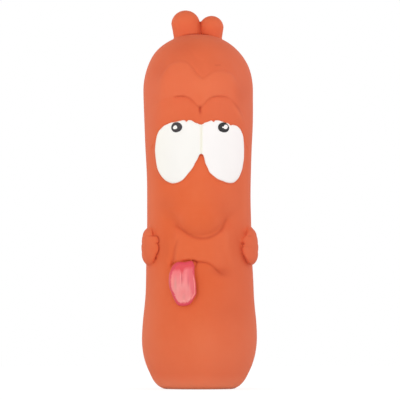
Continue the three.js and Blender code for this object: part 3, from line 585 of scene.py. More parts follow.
# The foot's hole, its thick lip and the recess for the squeaker's flange
GROMMET_RADIUS = 8.0
LIP_HIGH = 4.2
LIP_RADIUS = 12.6
RECESS_RADIUS = 10.3
RECESS_DEPTH = 1.8
OVERRUN = 3  # how far past the lip the hole is cut


def casting(points):
    """How far each point lies outside the casting's outer face, in millimetres."""
    x, y, z = points.T
    front = ease((2.0 - y) / 8)  # the face's relief fades out at the sides
    swell = 0.08 * np.sin(0.21 * z + 0.15 * x + 1.1) * np.sin(0.17 * x - 0.13 * y + 0.05 * z)  # uneven dip
    distance = plain_body(x, y, z) - read_face(face_heights, x, z) * front - swell * ease(z / 6)
    return with_parts(distance, x, y, z, PARTS)


def hollow_casting(points):
    """The casting with its hollow and the lipped hole in its foot."""
    x, y, z = points.T
    radius = np.hypot(x, y)
    hollow = plain_body(x, y, z) + SKIN_WALL
    hollow = np.maximum(hollow, -np.maximum(radius - LIP_RADIUS, z - LIP_HIGH))
    bore = np.maximum(radius - GROMMET_RADIUS, z - LIP_HIGH - OVERRUN)
    recess = np.maximum(radius - RECESS_RADIUS, z - RECESS_DEPTH)
    return np.maximum(np.maximum(casting(points), -hollow), -np.minimum(bore, recess))


# Meshes from fields


def unpinch(inside):
    """Fills the grid's faces that have their inner corners crosswise, where the surface would pinch."""
    for axis in (0, 1, 2) * 4:
        layers = np.moveaxis(inside, axis, 0)
        a, b, c, d = layers[:, :-1, :-1], layers[:, 1:, :-1], layers[:, :-1, 1:], layers[:, 1:, 1:]
        pinched = (a == d) & (b == c) & (a != b)
        for corner in (a, b, c, d):
            corner |= pinched


def surface_net(field, low, high, step, block=600_000):
    """The zero face of a field as vertices and quads, each vertex drawn onto the face.

    The field is worked out on a grid, a block of points at a time.
    """
    axes = [np.arange(a, b + step, step) for a, b in zip(low, high)]
    grid = np.stack(np.meshgrid(*axes, indexing="ij"), -1).reshape(-1, 3)
    values = np.concatenate([field(grid[i : i + block]) for i in range(0, len(grid), block)])
    values = values.reshape([len(a) for a in axes])
    inside = values < 0
    unpinch(inside)
    values[inside & (values >= 0)] = -1e-6
    corners = [(i, j, k) for i in (0, 1) for j in (0, 1) for k in (0, 1)]
    cut = [slice(0, n - 1) for n in values.shape]

    def shifted(array, corner):
        return array[tuple(slice(c, s.stop + c) for c, s in zip(corner, cut))]

    count = sum(shifted(inside, c).astype(np.int8) for c in corners)
    active = (count > 0) & (count < 8)
    cells = np.argwhere(active)
    total, crossed = np.zeros((len(cells), 3)), np.zeros(len(cells))
    for axis in range(3):
        for corner in corners:
            if corner[axis]:
                continue
            start = cells + corner
            end = start.copy()
            end[:, axis] += 1
            a, b = values[tuple(start.T)], values[tuple(end.T)]
            hit = (a < 0) != (b < 0)
            share = np.where(hit, a / np.where(hit, a - b, 1), 0)
            place = np.array(corner, float) + np.zeros((len(cells), 3))
            place[:, axis] += share
            total += place * hit[:, None]
            crossed += hit
    verts = np.array(low) + step * (cells + total / crossed[:, None])
    index = np.full(active.shape, -1)
    index[active] = np.arange(len(cells))
    quads = []
    for axis in range(3):
        u, v = (axis + 1) % 3, (axis + 2) % 3
        a = np.moveaxis(inside, axis, 0)
        a = a[:-1] != a[1:]
        edge = np.argwhere(np.moveaxis(a, 0, axis))
        edge = edge[(edge[:, u] > 0) & (edge[:, v] > 0)]
        edge = edge[(edge[:, u] < index.shape[u]) & (edge[:, v] < index.shape[v])]
        ring = []
        for du, dv in ((1, 1), (0, 1), (0, 0), (1, 0)):
            cell = edge.copy()
            cell[:, u] -= du
            cell[:, v] -= dv
            ring.append(index[tuple(cell.T)])
        ring = np.stack(ring, 1)
        outward = inside[tuple(edge.T)]
        quads.append(np.where(outward[:, None], ring, ring[:, ::-1]))
    return drawn_onto(field, verts, step), np.vstack(quads)


FINE, FINEST = 0.04, 0.3  # how much detail asks for one split of the faces, and for two


def refined(verts, quads, field, detail, step):
    """Splits the faces near detail, once where it is fine and twice where it is finest, and rounds them."""
    net = bmesh.new()
    made = [net.verts.new(v) for v in verts]
    for quad in quads.tolist():
        net.faces.new([made[i] for i in quad])
    for threshold in (FINE, FINEST):
        net.verts.index_update()
        near = detail(np.array([v.co[:] for v in net.verts])) > threshold
        split = [e for e in net.edges if near[e.verts[0].index] or near[e.verts[1].index]]
        bmesh.ops.subdivide_edges(net, edges=split, cuts=1, use_grid_fill=True)
    net.verts.index_update()
    verts = np.array([v.co[:] for v in net.verts])
    faces = [[v.index for v in f.verts] for f in net.faces]
    net.free()
    return drawn_onto(field, verts, step), faces


def drawn_onto(field, verts, step, rounds=3):
    """Moves vertices along the field's slope onto its zero face, a little at a time."""
    for _ in range(rounds):
        value = field(verts)
        slope = slope_of(field, verts)
        move = -(value / np.maximum((slope**2).sum(1), 0.25))[:, None] * slope
        length = np.linalg.norm(move, axis=1, keepdims=True)
        verts = verts + move * np.minimum(1, 0.35 * step / np.maximum(length, 1e-9))
    return verts


def slope_of(field, verts, reach=0.1):
    """The field's slope at each vertex, taken over a reach in millimetres to each side."""
    slope = np.zeros_like(verts)
    for axis in range(3):
        shift = np.zeros(3)
        shift[axis] = reach
        slope[:, axis] = (field(verts + shift) - field(verts - shift)) / (2 * reach)
    return slope


def placed(verts):
    """From the casting's millimetres to the frame's metres."""
    return np.asarray(verts) * MM + np.array([0, AXIS_Y, 0])


def put_in(name, data):
    """A new object of the scene."""
    item = bpy.data.objects.new(name, data)
    bpy.context.scene.collection.objects.link(item)
    return item


def make_piece(name, verts, faces):
    """A smooth piece of the scene from a mesh in the casting's millimetres."""
    mesh = bpy.data.meshes.new(name)
    mesh.from_pydata(placed(verts).tolist(), [], [list(map(int, f)) for f in faces])
    mesh.validate()
    mesh.polygons.foreach_set("use_smooth", [True] * len(mesh.polygons))
    mesh.update()
    return put_in(name, mesh)


def mark(piece, name, values):
    """Stores a value for each vertex, for the piece's material."""
    layer = piece.data.attributes.new(name, "FLOAT", "POINT")
    layer.data.foreach_set("value", np.asarray(values, np.float32))


# The latex casting

SKIN_STEP = 0.75
CASTING_LOW, CASTING_HIGH = (-29.4, -33, -1.5), (29.4, 27.6, 177)
HOLLOW_THINNING = 0.85  # the share of the hollow's faces that can go


def joined_at(x, y, z, form, width):
    """How near each point lies to where a part meets the body."""
    body = plain_body(x, y, z) - read_face(face_heights, x, z) * (y < 0)
    return np.exp(-((form(x, y, z) / width) ** 2) - (body / width) ** 2)


def crease_shade_at(x, y, z):
    """How much painted shade each point of the casting gets in a crease, under a fist's edge and round the
    tufts' roots, from 0 to 1.
    """
    depth = read_face(face_crease_shade, x, z) * (y < -8)
    for side in (-1, 1):
        near = (-side * x < -15) & (z > FIST_LOW) & (z < FIST_HIGH) & (y < -3) & (y > -24)
        px, py, pz = x[near], y[near], z[near]
        under = np.interp(pz, *np.transpose(UNDERCUT[side]))
        dark = joined_at(px, py, pz, fist(side), 0.42) * under * ease((-py - 5) / 4)
        for line, _, share in FIST_CREASES[side]:
            dark = np.maximum(dark, share * stroke(-side * px, pz, line, 0.4) * (py < -6))
        dark = np.maximum(dark, 0.7 * between_fingers(-side * px, py, pz))
        depth[near] += dark
    # Painted shade where the tufts meet the crown and down the parting between them
    top = (z > 158) & (y > -7) & (np.abs(x) < 14)
    px, py, pz = x[top], y[top], z[top]
    roots = np.maximum(joined_at(px, py, pz, LEFT_TUFT, 0.45), joined_at(px, py, pz, RIGHT_TUFT, 0.45))
    tufts = ease(1.5 - np.minimum(LEFT_TUFT(px, py, pz), RIGHT_TUFT(px, py, pz)))
    front = ease((5 - py) / 4) * ease((7.8 - np.abs(px + 1.8)) / 4)
    parting = 0.85 * stroke(px, pz, PARTING, 0.36) * tufts * ease((6 - py) / 2)
    depth[top] += np.maximum(roots * (0.1 + 0.8 * front), parting)
    return np.clip(depth, 0, 1)


def detail_at(points):
    """Where the casting's mesh has to be finer, from 0 to 1."""
    x, y, z = points.T
    face = (y < -8) & (z > FACE_LOW + 1) & (z < FACE_HIGH - 1) & (plain_body(x, y, z) > -1)
    bent = 0.12 * np.clip(read_face(face_bends, x, z) - 0.25, 0, 1) * face
    hands = (np.abs(x) > 15) & (z > FIST_LOW) & (z < FIST_HIGH) & (y < -3)
    hands &= np.hypot(x, y / DEPTH_SHARE) > 20
    tip = (x > -16) & (x < 0) & (z > 37) & (z < 61) & face
    return np.maximum(crease_shade_at(x, y, z), np.maximum(bent, 0.06 * (hands | tip)))


def latex_casting():
    """The whole casting; its hidden hollow gets a coarser mesh than its outer face."""
    verts, faces = surface_net(hollow_casting, CASTING_LOW, CASTING_HIGH, SKIN_STEP)
    verts, faces = refined(verts, faces, hollow_casting, detail_at, 0.5 * SKIN_STEP)
    piece = make_piece("latex_casting", verts, faces)
    x, y, z = verts.T
    inner = (plain_body(x, y, z) < -SKIN_WALL + 0.6) & (z > 1.5)
    group = piece.vertex_groups.new(name="hollow")
    group.add(np.flatnonzero(inner).tolist(), 1.0, "REPLACE")
    thin = piece.modifiers.new("coarser_hollow", "DECIMATE")
    thin.ratio = 1 - HOLLOW_THINNING * float(inner.mean())
    thin.vertex_group = "hollow"
    thin.vertex_group_factor = 10
    bpy.context.view_layer.update()
    with bpy.context.temp_override(object=piece, active_object=piece, selected_objects=[piece]):
        bpy.ops.object.modifier_apply(modifier=thin.name)
    piece.vertex_groups.clear()
    spots = np.empty(len(piece.data.vertices) * 3)
    piece.data.vertices.foreach_get("co", spots)
    spots = (spots.reshape(-1, 3) - [0, AXIS_Y, 0]) / MM
    # Painted shade in the creases, under the fists and round the tufts
    mark(piece, "crease", crease_shade_at(*spots.T))
    # Painted light and shade over the face, with some of the dip's uneven colour
    mark(piece, "tone", read_face(face_painted_light_and_dip, spots[:, 0], spots[:, 2]) * ease((-6 - spots[:, 1]) / 4))
    return piece


casting_piece = latex_casting()


# Coats of colour


IN_FRONT = -38.0  # where the lines of sight start, ahead of the whole toy


def face_y(x, z, depth):
    """Where a line of sight from the front meets the casting, grown by a depth."""
    y = np.full(np.shape(x), IN_FRONT)
    for _ in range(70):
        gap = casting(np.stack([x, y, z], -1)) - depth
        y = np.minimum(y + 0.6 * np.maximum(gap, 0), 0)
    for _ in range(6):  # draws the point that was reached onto the face from either side
        y -= 0.5 * (depth - casting(np.stack([x, y, z], -1)))
    return y


LOOP_POINTS = 240  # round a coat's edge


def brushed(outline, waver, seed):
    """An outline with the slight waver of a hand-brushed edge, as evenly spaced points."""
    closed = np.vstack([outline, outline[:1]])
    run = np.concatenate([[0], np.cumsum(np.linalg.norm(np.diff(closed, axis=0), axis=1))])
    s = np.linspace(0, run[-1], LOOP_POINTS + 1)[:-1]
    loop = np.stack([np.interp(s, run, closed[:, k]) for k in (0, 1)], 1)
    along = np.roll(loop, -1, 0) - np.roll(loop, 1, 0)
    out = np.stack([along[:, 1], -along[:, 0]], 1)
    out /= np.linalg.norm(out, axis=1, keepdims=True)
    rng = np.random.default_rng(seed)
    turn = 2 * math.pi * s / run[-1]
    shift = sum(
        rng.normal() / np.sqrt(n) * np.cos(n * turn + rng.uniform(0, 2 * math.pi)) for n in range(5, 40, 3)
    )
    off_seam = np.clip(np.abs(loop[:, 0] - 0.55) / 1.2 - 0.2, 0, 1)  # steady where the two whites meet
    shift *= off_seam * np.clip((21 - np.abs(loop[:, 0])) / 8, 0.25, 1)
    return loop + out * (waver * shift)[:, None]


RIM_SLACK = 0.06  # how far a point of a ring may lie off the mean of its neighbours
LAST_RING = 0.985  # the ring inside the edge, as a share of the way from the middle


def coat(name, outline, middle, proud, thickness, rings, waver, seed):
    """A film of paint on the casting, inside an outline as seen from the front, in rings round its middle."""
    loop = brushed(np.asarray(outline, float), waver, seed)
    n = len(loop)
    middle = np.array(middle, float)
    shares = np.concatenate([np.linspace(0, 1, rings) ** 0.85 * LAST_RING, [1.0]])[1:]
    top = np.concatenate([[middle]] + [middle + (loop - middle) * s for s in shares])
    depth = np.full(len(top), proud)
    depth[-n:] = proud - 0.6 * thickness
    y = face_y(top[:, 0], top[:, 1], depth)
    levels = y[1:].reshape(len(shares), n)
    beside = np.mean([np.roll(levels, k, 1) for k in range(-6, 7)], 0)
    y[1:] = np.clip(levels, beside - RIM_SLACK, beside + RIM_SLACK).ravel()
    upper = np.stack([top[:, 0], y, top[:, 1]], 1)
    lower = upper.copy()
    lower[:, 1] += thickness
    lower[-n:, 1] = upper[-n:, 1] + 0.5 * thickness
    faces = []
    for i in range(n):
        j = (i + 1) % n
        faces.append((0, 1 + j, 1 + i))
        for r in range(len(shares) - 1):
            a, b = 1 + r * n, 1 + (r + 1) * n
            faces.append((a + i, a + j, b + j, b + i))
    count = len(top)
    under = [tuple(count + v for v in f)[::-1] for f in faces]
    rim = 1 + (len(shares) - 1) * n
    sides = [(rim + i, rim + (i + 1) % n, count + rim + (i + 1) % n, count + rim + i) for i in range(n)]
    piece = make_piece(name, np.vstack([upper, lower]), faces + under + sides)
    fix = bmesh.new()
    fix.from_mesh(piece.data)
    bmesh.ops.recalc_face_normals(fix, faces=fix.faces)
    fix.to_mesh(piece.data)
    fix.free()
    edge = np.concatenate([[0.0]] + [np.full(n, s) for s in shares])
    mark(piece, "edge", np.tile(edge, 2))
    return piece


def oval(middle, half, turn, lumps):
    """A slightly lumpy oval, turned in its plane."""
    t = np.linspace(0, 2 * math.pi, 96, endpoint=False)
    r = 1 + lumps * np.cos(3 * t + 1) + 0.6 * lumps * np.sin(5 * t)
    x, z = half[0] * r * np.cos(t), half[1] * r * np.sin(t)
    c, s = math.cos(turn), math.sin(turn)
    return np.stack([middle[0] + c * x - s * z, middle[1] + s * x + c * z], 1)


LEFT_GLINT = (
    (-12.4, 119.95), (-12.3, 120.5), (-11.9, 121), (-11.35, 121.35), (-10.85, 121.2), (-10.55, 120.75),
    (-10.45, 120.15), (-10.8, 119.7), (-11.4, 119.55), (-12, 119.6),
)
RIGHT_GLINT = (
    (12.75, 120.5), (12.65, 121.15), (12.15, 121.6), (11.5, 121.6), (11.05, 121.2), (10.85, 120.75),
    (10.35, 120.75), (10.1, 120.45), (10.4, 120.15), (10.9, 120.05), (11.1, 119.75), (11.6, 119.6),
    (12.25, 119.7),
)

LEFT_PUPIL = oval((-10.75, 120.45), (2.55, 2.32), 0.3, 0.02)
RIGHT_PUPIL = oval((10.85, 120.35), (2.58, 2.28), -0.3, 0.022)

# Each coat: the node it stands for, its piece and outline, the middle of its rings, how far it stands off the
# casting, its thickness, its rings, and the waver of its edge with the seed for it
COATS = (
    ("eye_white_left", "brushed_white_left", around(LEFT_WHITE, 8), (-10.6, 109.5), 0.4, 0.45, 22, 0.035, 4),
    ("eye_white_right", "brushed_white_right", around(RIGHT_WHITE, 8), (11, 109.5), 0.42, 0.45, 22, 0.05, 9),
    ("pupil_left", "brushed_pupil_left", LEFT_PUPIL, (-10.7, 120.5), 0.6, 0.4, 8, 0.03, 3),
    ("pupil_right", "brushed_pupil_right", RIGHT_PUPIL, (10.8, 120.35), 0.6, 0.4, 8, 0.03, 5),
    ("glint_left", "brushed_glint_left", around(LEFT_GLINT, 8), (-11.4, 120.4), 0.8, 0.35, 6, 0.01, 6),
    ("glint_right", "brushed_glint_right", around(RIGHT_GLINT, 8), (11.75, 120.6), 0.8, 0.35, 6, 0.01, 7),
)
coats = {node: coat(name, *shape) for node, name, *shape in COATS}

# The tongue's two coats of pink are one film, which lies just inside the tongue's own edge
TONGUE_MIDDLE = np.array((-8.4, 49.4))
TONGUE_SHARE = 0.985  # of the way from its middle to its edge
tongue_inset = TONGUE_MIDDLE + (tongue_outline - TONGUE_MIDDLE) * TONGUE_SHARE
tongue_pink = coat("airbrushed_tongue", tongue_inset, TONGUE_MIDDLE, 0.35, 0.45, 26, 0.04, 8)


# The stuffing: tangled fibre that fills the hollow round the squeaker, pressed into soft clumps

# The waves that make the clumps: their turns a millimetre along x, y and z, and where they start
CLUMPS = (
    (0.52, 0.31, 0.44, 0.3), (-0.37, 0.58, 0.29, 1.7), (0.28, -0.49, 0.61, 3.9), (0.71, 0.22, -0.35, 5.2),
)
CLEARANCE = 0.7
FIBRE_STEP = 1.6
squeaker_radius = (squeaker_high[0] - squeaker_low[0]) / 2 / MM + CLEARANCE
squeaker_top = squeaker_high[2] / MM + CLEARANCE


def stuffing_form(points):
    """How far each point lies outside the stuffing, in millimetres."""
    x, y, z = points.T
    lumps = sum(0.32 * np.sin(a * x + b * y + c * z + turn) for a, b, c, turn in CLUMPS)
    fibre = plain_body(x, y, z) + SKIN_WALL + CLEARANCE + 0.45 * (1.2 + lumps)
    fibre = np.maximum(fibre, LIP_HIGH + CLEARANCE - z)
    return np.maximum(fibre, -np.maximum(np.hypot(x, y) - squeaker_radius, z - squeaker_top))


fibre_net = surface_net(stuffing_form, (-27, -26, 2), (27, 26, 164), FIBRE_STEP)
stuffing_piece = make_piece("fibre_stuffing", *fibre_net)


# Materials


class Socket:
    """A shader value that Python's arithmetic works on."""

    def __init__(self, shader, socket):
        self.shader = shader
        self.socket = socket

    def _math(self, operation, *values):
        return self.shader.node("ShaderNodeMath", {"operation": operation}, dict(enumerate(values)))

    def __add__(self, other):
        return self._math("ADD", self, other)

    def __sub__(self, other):
        return self._math("SUBTRACT", self, other)

    def __rsub__(self, other):
        return self._math("SUBTRACT", other, self)

    def __mul__(self, other):
        return self._math("MULTIPLY", self, other)

    def __truediv__(self, other):
        return self._math("DIVIDE", self, other)

    __radd__ = __add__
    __rmul__ = __mul__

    def absolute(self):
        return self._math("ABSOLUTE", self)

    def greater(self, other):
        return self._math("MAXIMUM", self, other)

    def clamped(self):
        return self.shader.node("ShaderNodeClamp", {}, {"Value": self})

    def band(self, middle, half):
        """1 at a value, falling to 0 at half a width to each side of it."""
        return (1 - ((self - middle) / half).absolute()).clamped()

    def past(self, start, run):
        """0 below a value, rising to 1 over a run past it."""
        return ((self - start) / run).clamped()


class Shader:
    """A node tree whose nodes are added by calls."""

    def __init__(self, tree):
        self.tree = tree

    def node(self, kind, settings, inputs, output=0):
        """Adds a node: its kind, its settings, which come first, and the values or links of its sockets."""
        made = self.tree.nodes.new(kind)
        for key, value in settings.items():
            setattr(made, key, value)
        for key, value in inputs.items():
            self.feed(made.inputs[key], value)
        return Socket(self, made.outputs[output])

    def feed(self, target, value):
        if isinstance(value, Socket):
            self.tree.links.new(value.socket, target)
        elif hasattr(target.default_value, "__len__") and len(target.default_value) == 4 and len(value) == 3:
            target.default_value = (*value, 1.0)
        else:
            target.default_value = value

    def mix(self, share, a, b):
        return self.node("ShaderNodeMix", {"data_type": "RGBA"}, {"Factor": share, 6: a, 7: b}, 2)


class Finish(Shader):
    """A material for one finish, with its measures in millimetres about the casting's axis."""

    def __init__(self, name):
        self.material = bpy.data.materials.new(name)
        self.material.use_nodes = True
        super().__init__(self.material.node_tree)
        self.surface = self.tree.nodes["Principled BSDF"]

    def along(self, axis):
        """How far along an axis each point lies, in millimetres from the casting's axis or the floor."""
        place = self.node("ShaderNodeTexCoord", {}, {}, "Object")
        reach = self.node("ShaderNodeSeparateXYZ", {}, {"Vector": place}, axis)
        return reach * (1 / MM) - AXIS_Y / MM if axis == "Y" else reach * (1 / MM)

    def noise(self, scale, detail, roughness, stretch=(1, 1, 1)):
        """Noise from 0 to 1, as so many cells a metre."""
        place = self.node("ShaderNodeTexCoord", {}, {}, "Object")
        where = self.node("ShaderNodeMapping", {}, {"Vector": place, "Scale": stretch})
        inputs = {"Vector": where, "Scale": scale, "Detail": detail, "Roughness": roughness}
        return self.node("ShaderNodeTexNoise", {}, inputs)

    def mark(self, name):
        """A value that the mesh carries for each vertex."""
        return self.node("ShaderNodeAttribute", {"attribute_name": name}, {}, "Fac")

    def bump(self, height, distance, strength):
        """A relief too fine for the mesh: its height in shares of a distance in metres."""
        inputs = {"Height": height, "Distance": distance, "Strength": strength}
        return self.node("ShaderNodeBump", {}, inputs, "Normal")

    def layered(self, base, layers):
        """A colour under layers of others, each given by its share and its screen colour."""
        for share, colour in layers:
            base = self.mix(share, base, linear(*colour))
        return base

    def sets(self, **inputs):
        """Feeds the surface's sockets, with _ for each space in their names, and returns the material."""
        for key, value in inputs.items():
            self.feed(self.surface.inputs[key.replace("_", " ")], value)
        return self.material


def linear(*screen):
    """A colour as seen on a screen, 0 to 255, as the shader's linear colour."""
    shares = (value / 255 for value in screen)
    return tuple(c / 12.92 if c <= 0.04045 else ((c + 0.055) / 1.055) ** 2.4 for c in shares)


def cast_latex():
    """Orange latex: matte and dusty, slightly mottled where the dip ran thicker, deeper in creases as painted
    shade, with painted light and shade darker on the right and above and paler on the left edge and towards
    the foot.
    """
    finish = Finish("cast_latex_orange")
    mottle = finish.noise(38, 3, 0.55)
    streak = finish.noise(60, 2, 0.5, (1, 1, 0.25))
    dust = finish.noise(420, 4, 0.6)
    grain = finish.noise(2600, 2, 0.5)
    x, y, z = (finish.along(axis) for axis in "XYZ")
    patch = (mottle - 0.5) * 0.6
    foot = z.past(8, -8)
    tone = finish.mark("tone")
    parting = y.band(0.6, 0.5) * x.absolute().past(9, 4)
    base = finish.mix(((mottle - 0.5) * 1.6 + 0.5).clamped(), linear(224, 97, 48), linear(230, 107, 58))
    base = finish.layered(base, (
        (((streak - 0.5) * 1.2 + 0.35).clamped() * 0.5, (226, 104, 64)),
        ((dust - 0.45).clamped() * 0.3, (234, 126, 88)),
        # Painted light and shade: the right side darker, the left edge paler, the upper part darker and the
        # lower part paler
        (((x - 2) / 24 + patch).clamped() * 0.6, (222, 106, 76)),
        (((-16 - x) / 9 + patch).clamped() * 0.5, (227, 116, 80)),
        (((z - 88) / 50 + patch).clamped() * 0.4, (223, 108, 76)),
        (((50 - z) / 45 + patch).clamped() * 0.6, (234, 124, 86)),
        # Painted light on the foot, paler towards the floor
        (foot * foot * 0.95, (250, 158, 118)),
        # The painted light and shade of the face, with some of the dip's uneven colour
        (tone.clamped() * 0.34, (240, 130, 88)),
        ((0 - tone).clamped() * 0.42, (203, 84, 48)),
        (parting * 0.25, (236, 130, 92)),
        # Painted shade in the creases
        (finish.mark("crease") * 0.85, (172, 48, 27)),
    ))
    return finish.sets(
        Base_Color=base,
        Roughness=0.66 + 0.16 * dust,
        Normal=finish.bump(grain * 0.6 + dust * 0.9 + parting * 2.2, 0.00006, 0.6),
        Specular_IOR_Level=0.25,
        Sheen_Weight=0.04,
        Sheen_Roughness=0.5,
        Sheen_Tint=(1.0, 0.72, 0.58, 1.0),
        Subsurface_Weight=0.08,
        Subsurface_Radius=(0.0018, 0.0006, 0.0003),
        Subsurface_Scale=1.0,
    )


WHITES_MEET_X, WHITES_MEET_Z = 0.58, 108.2  # the line where the two whites touch, and its lower end


def brushed_white():
    """White latex coat: a faint brush grain, warmer at its edge, creamy where the two coats meet, and painted
    paler towards its outer sides as painted light.
    """
    finish = Finish("brushed_white_coat")
    cloud = finish.noise(70, 2, 0.5)
    strokes = finish.noise(500, 3, 0.6, (1, 1, 0.2))
    x, z = finish.along("X"), finish.along("Z")
    meeting = z.past(WHITES_MEET_Z, 0.5)
    seam = x.band(WHITES_MEET_X, 1.1) * meeting
    bare_edge = 1 - x.band(WHITES_MEET_X, 2.4).past(0, 0.4) * meeting
    edge = finish.mark("edge").past(0.965, 0.035) * bare_edge
    base = finish.mix(cloud * 0.6, linear(248, 246, 241), linear(243, 241, 236))
    base = finish.layered(base, (
        (x.past(0.7, 1) * 0.5, (251, 245, 246)),
        # Painted light towards the outer sides of both whites
        (x.past(11, 8) * 0.7, (255, 248, 247)),
        (x.past(-12, -7) * 0.6, (254, 251, 241)),
        (seam * 0.75, (246, 243, 226)),
        (edge * 0.5, (246, 226, 205)),
    ))
    return finish.sets(
        Base_Color=base,
        Roughness=0.38 + 0.12 * strokes,
        Normal=finish.bump(strokes, 0.00005, 0.5),
        Specular_IOR_Level=0.4,
    )


def pupil_black():
    """Black latex coat: greyer on the left pupil than on the right."""
    finish = Finish("brushed_black_coat")
    cloud = finish.noise(900, 3, 0.6)
    on_right_pupil = finish.along("X").past(0, 1)
    base = finish.mix(cloud, linear(34, 28, 31), linear(56, 48, 52))
    base = finish.mix(on_right_pupil * 0.8, base, linear(10, 8, 9))
    return finish.sets(
        Base_Color=base,
        Roughness=0.34 + 0.15 * cloud,
        Normal=finish.bump(cloud, 0.00006, 0.5),
        Specular_IOR_Level=0.45,
    )


def tongue_coat():
    """Pink coat: deep under the lip, down the right and along the rim, paler where it was airbrushed, with
    painted highlights along its rims, at its upper right corner and round its tip, and painted shade down its
    groove.
    """
    finish = Finish("airbrushed_pink_coat")
    x, z = finish.along("X"), finish.along("Z")
    edge = finish.mark("edge")
    cloud = finish.noise(260, 3, 0.55)
    fleck = finish.noise(1100, 3, 0.6)
    streaks = finish.noise(900, 2, 0.5, (1, 1, 0.12))
    right = ((x + 6.1 - 1.5 * z.past(50, -6)) / 1.4).clamped()
    lip_edge = 54.6 + 1.1 * x.past(-7.8, 1.4) - 1.1 * x.band(-8.3, 1)
    lip = ((z + (streaks - 0.5) * 2 - lip_edge) / 1.7 + 0.35).clamped()
    rim = (edge + (fleck - 0.5) * 0.3 + 0.03 * x.past(-9.5, -2)).past(0.84, 0.05)
    # Painted highlights: a bright line inside the right rim and glints round the tip
    highlit_side = x.past(-4.6, 0.8) * z.band(46.6, 6.4).past(0, 0.3)
    highlight_line = (edge + (fleck - 0.5) * 0.08).band(0.9, 0.055)
    glint = edge.band(0.8, 0.08) * z.past(43, -2) * ((fleck - 0.47) * 8).clamped()
    base = finish.mix(((cloud - 0.35) * 1.8).clamped(), linear(241, 128, 130), linear(245, 156, 150))
    base = finish.layered(base, (
        (z.past(47.5, 6) * 0.9, (243, 112, 118)),
        (((streaks - 0.5) * 3).clamped() * 0.3, (255, 158, 152)),
        (x.band(-11.3, 1) * z.band(48.6, 5) * 0.7, (216, 146, 134)),
        (x.band(-7.3, 1) * z.band(42.6, 2.6) * 0.5, (220, 138, 132)),
        # Painted highlight inside the left rim
        (x.band(-12.7, 0.7) * z.band(49.8, 4) * 0.7, (255, 146, 134)),
        (right * 0.85, (233, 96, 106)),
        (x.band(-5.4, 0.6) * z.band(50, 5) * 0.6, (214, 86, 100)),
        (x.band(-6.8, 0.9) * z.band(51, 3.6) * 0.75, (255, 140, 142)),
        (x.band(-8.95, 0.38) * z.band(51.5, 3.8) * 0.6, (255, 156, 156)),
        # Painted shade down the groove
        (x.band(-8.35, 0.42) * z.band(51.2, 4.2) * 0.9, (192, 72, 88)),
        (lip, (229, 65, 76)),
        # Painted highlight at the upper right corner
        (x.band(-3.2, 0.6) * z.band(55.9, 1.4) * 0.8, (250, 134, 122)),
        (rim * (0.95 - 0.35 * z.band(50.5, 4.5)), (221, 62, 82)),
        # Painted highlights along the right rim and at the tip
        (highlit_side * highlight_line * 0.95, (255, 152, 142)),
        (glint * 0.8, (255, 168, 156)),
    ))
    return finish.sets(
        Base_Color=base,
        Roughness=0.32 + 0.2 * cloud,
        Normal=finish.bump(cloud, 0.00008, 0.5),
        Specular_IOR_Level=0.4,
        Coat_Weight=0.15,
        Coat_Roughness=0.25,
    )


def stuffing():
    """Polyester fibre: white, tangled, with soft clumps."""
    finish = Finish("polyester_stuffing")
    clump = finish.noise(160, 5, 0.65)
    strand = finish.noise(1500, 4, 0.7, (1, 1, 0.3))
    base = finish.mix(clump, linear(226, 223, 214), linear(247, 245, 240))
    return finish.sets(
        Base_Color=base,
        Roughness=0.85 + 0.1 * strand,
        Normal=finish.bump(clump * 0.7 + strand * 0.3, 0.0008, 0.9),
        Sheen_Weight=0.3,
    )


def moulded(name, low, high):
    """Moulded squeaker plastic: slightly cloudy, with fine swirls from the mould."""
    finish = Finish(name)
    cloud = finish.noise(240, 3, 0.5)
    swirl = finish.noise(1800, 2, 0.5, (1, 1, 0.15))
    return finish.sets(
        Base_Color=finish.mix(cloud, linear(*low), linear(*high)),
        Roughness=0.3 + 0.15 * swirl,
        Normal=finish.bump(swirl, 0.00002, 0.5),
        Specular_IOR_Level=0.5,
    )


def dress(piece, material):
    """Gives a piece its finish: a new mesh gets a slot for it, and a node from the frame has one."""
    if not piece.material_slots:
        piece.data.materials.append(material)
    for held in piece.material_slots:
        held.link = "OBJECT"
        held.material = material


white = brushed_white()
black = pupil_black()
plug_white = moulded("reed_plug_plastic", (226, 226, 219), (240, 240, 234))
dress(casting_piece, cast_latex())
for node, piece in coats.items():
    dress(piece, black if "pupil" in node else white)
dress(tongue_pink, tongue_coat())
dress(stuffing_piece, stuffing())
dress(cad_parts["squeaker_barrel"], moulded("squeaker_plastic", (236, 235, 229), (247, 246, 242)))
dress(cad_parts["reed_seat"], plug_white)
dress(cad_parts["reed_clamp"], plug_white)
dress(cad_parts["reed"], moulded("reed_strip", (208, 220, 226), (226, 234, 238)))

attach(casting_piece, "toy")
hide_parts("latex_skin")
for node, piece in coats.items():
    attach(piece, "toy")
    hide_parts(node)
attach(tongue_pink, "toy")
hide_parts("tongue_coat", "tongue_pale_coat")
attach(stuffing_piece, "toy")
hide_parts("fibre_filling")


# Floor, light and camera

FLOOR_HALF = 0.6  # metres, as are the clearance and the lamps' places
FLOOR_CLEARANCE = 0.00005


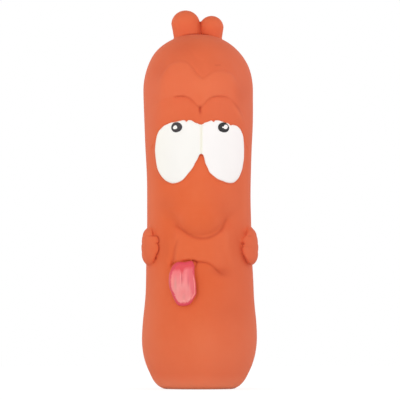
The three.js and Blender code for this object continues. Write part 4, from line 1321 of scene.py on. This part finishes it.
def floor():
    """White paper under the toy, which the camera sees as nearly pure white."""
    sheet = bmesh.new()
    bmesh.ops.create_grid(sheet, x_segments=24, y_segments=24, size=FLOOR_HALF)
    mesh = bpy.data.meshes.new("studio_floor")
    sheet.to_mesh(mesh)
    sheet.free()
    piece = put_in("studio_floor", mesh)
    piece.location.z = -FLOOR_CLEARANCE
    finish = Finish("studio_floor_paper")
    fibres = finish.noise(300, 3, 0.5)
    paper = finish.mix(fibres, (0.9, 0.9, 0.9), (0.93, 0.93, 0.93))
    dress(piece, finish.sets(Base_Color=paper, Roughness=0.9, Specular_IOR_Level=0.1))
    lit = Socket(finish, finish.surface.outputs["BSDF"])
    seen = finish.node("ShaderNodeLightPath", {}, {}, "Is Camera Ray")
    glow = finish.node("ShaderNodeEmission", {}, {"Color": (1, 1, 1), "Strength": 1.25}, "Emission")
    both = finish.node("ShaderNodeMixShader", {}, {0: seen * 0.62, 1: lit, 2: glow}, "Shader")
    finish.feed(finish.tree.nodes["Material Output"].inputs["Surface"], both)


LIT_SPOT = (0, 0, 0.07)
SOFT_BOX_SIZE = (1.2, 1.0)


def soft_box(name, place, watts):
    """A large white lamp that faces the toy."""
    data = bpy.data.lights.new(name, "AREA")
    data.shape = "RECTANGLE"
    data.size, data.size_y = SOFT_BOX_SIZE
    data.energy = watts
    lamp = put_in(name, data)
    lamp.location = place
    lamp.rotation_euler = (Vector(LIT_SPOT) - Vector(place)).to_track_quat("-Z", "Y").to_euler()


def studio_world(low, more):
    """White to the camera and in reflections; softer light from above and below than from around."""
    world = bpy.data.worlds.new("studio")
    bpy.context.scene.world = world
    world.use_nodes = True
    tree = world.node_tree
    sky = Shader(tree)
    seen = sky.node("ShaderNodeLightPath", {}, {}, "Is Camera Ray")
    for ray in ("Is Glossy Ray", "Is Transmission Ray"):
        seen = seen.greater(sky.node("ShaderNodeLightPath", {}, {}, ray))
    way = sky.node("ShaderNodeTexCoord", {}, {}, "Generated")
    up = sky.node("ShaderNodeSeparateXYZ", {}, {0: way}, "Z")
    soft = low + (1 - up * up) * more
    back = tree.nodes["Background"]
    sky.feed(back.inputs["Color"], (1, 1, 1))
    sky.feed(back.inputs["Strength"], seen + (1 - seen) * soft)


floor()
studio_world(0.34, 0.8)
soft_box("front_left_soft_box", (-0.9, -1.5, 0.06), 5.0)
soft_box("front_right_soft_box", (0.9, -1.5, 0.06), 4.2)

bpy.context.scene.view_settings.view_transform = "Standard"

# A level camera, far enough away that the toy shows nearly without perspective
DISTANCE = 4.5
FRAME_WIDTH = 400 * 0.4612 * MM
CAMERA_HEIGHT = 189.05 * 0.4605 * MM
SENSOR_WIDTH = 36  # in millimetres
camera_data = bpy.data.cameras.new("front_camera")
camera_data.sensor_width = SENSOR_WIDTH
camera_data.lens = SENSOR_WIDTH * DISTANCE / FRAME_WIDTH
camera = put_in("front_camera", camera_data)
camera.location = (0, AXIS_Y - DISTANCE, CAMERA_HEIGHT)
camera.rotation_euler = (math.pi / 2, 0, 0)
bpy.context.scene.camera = camera
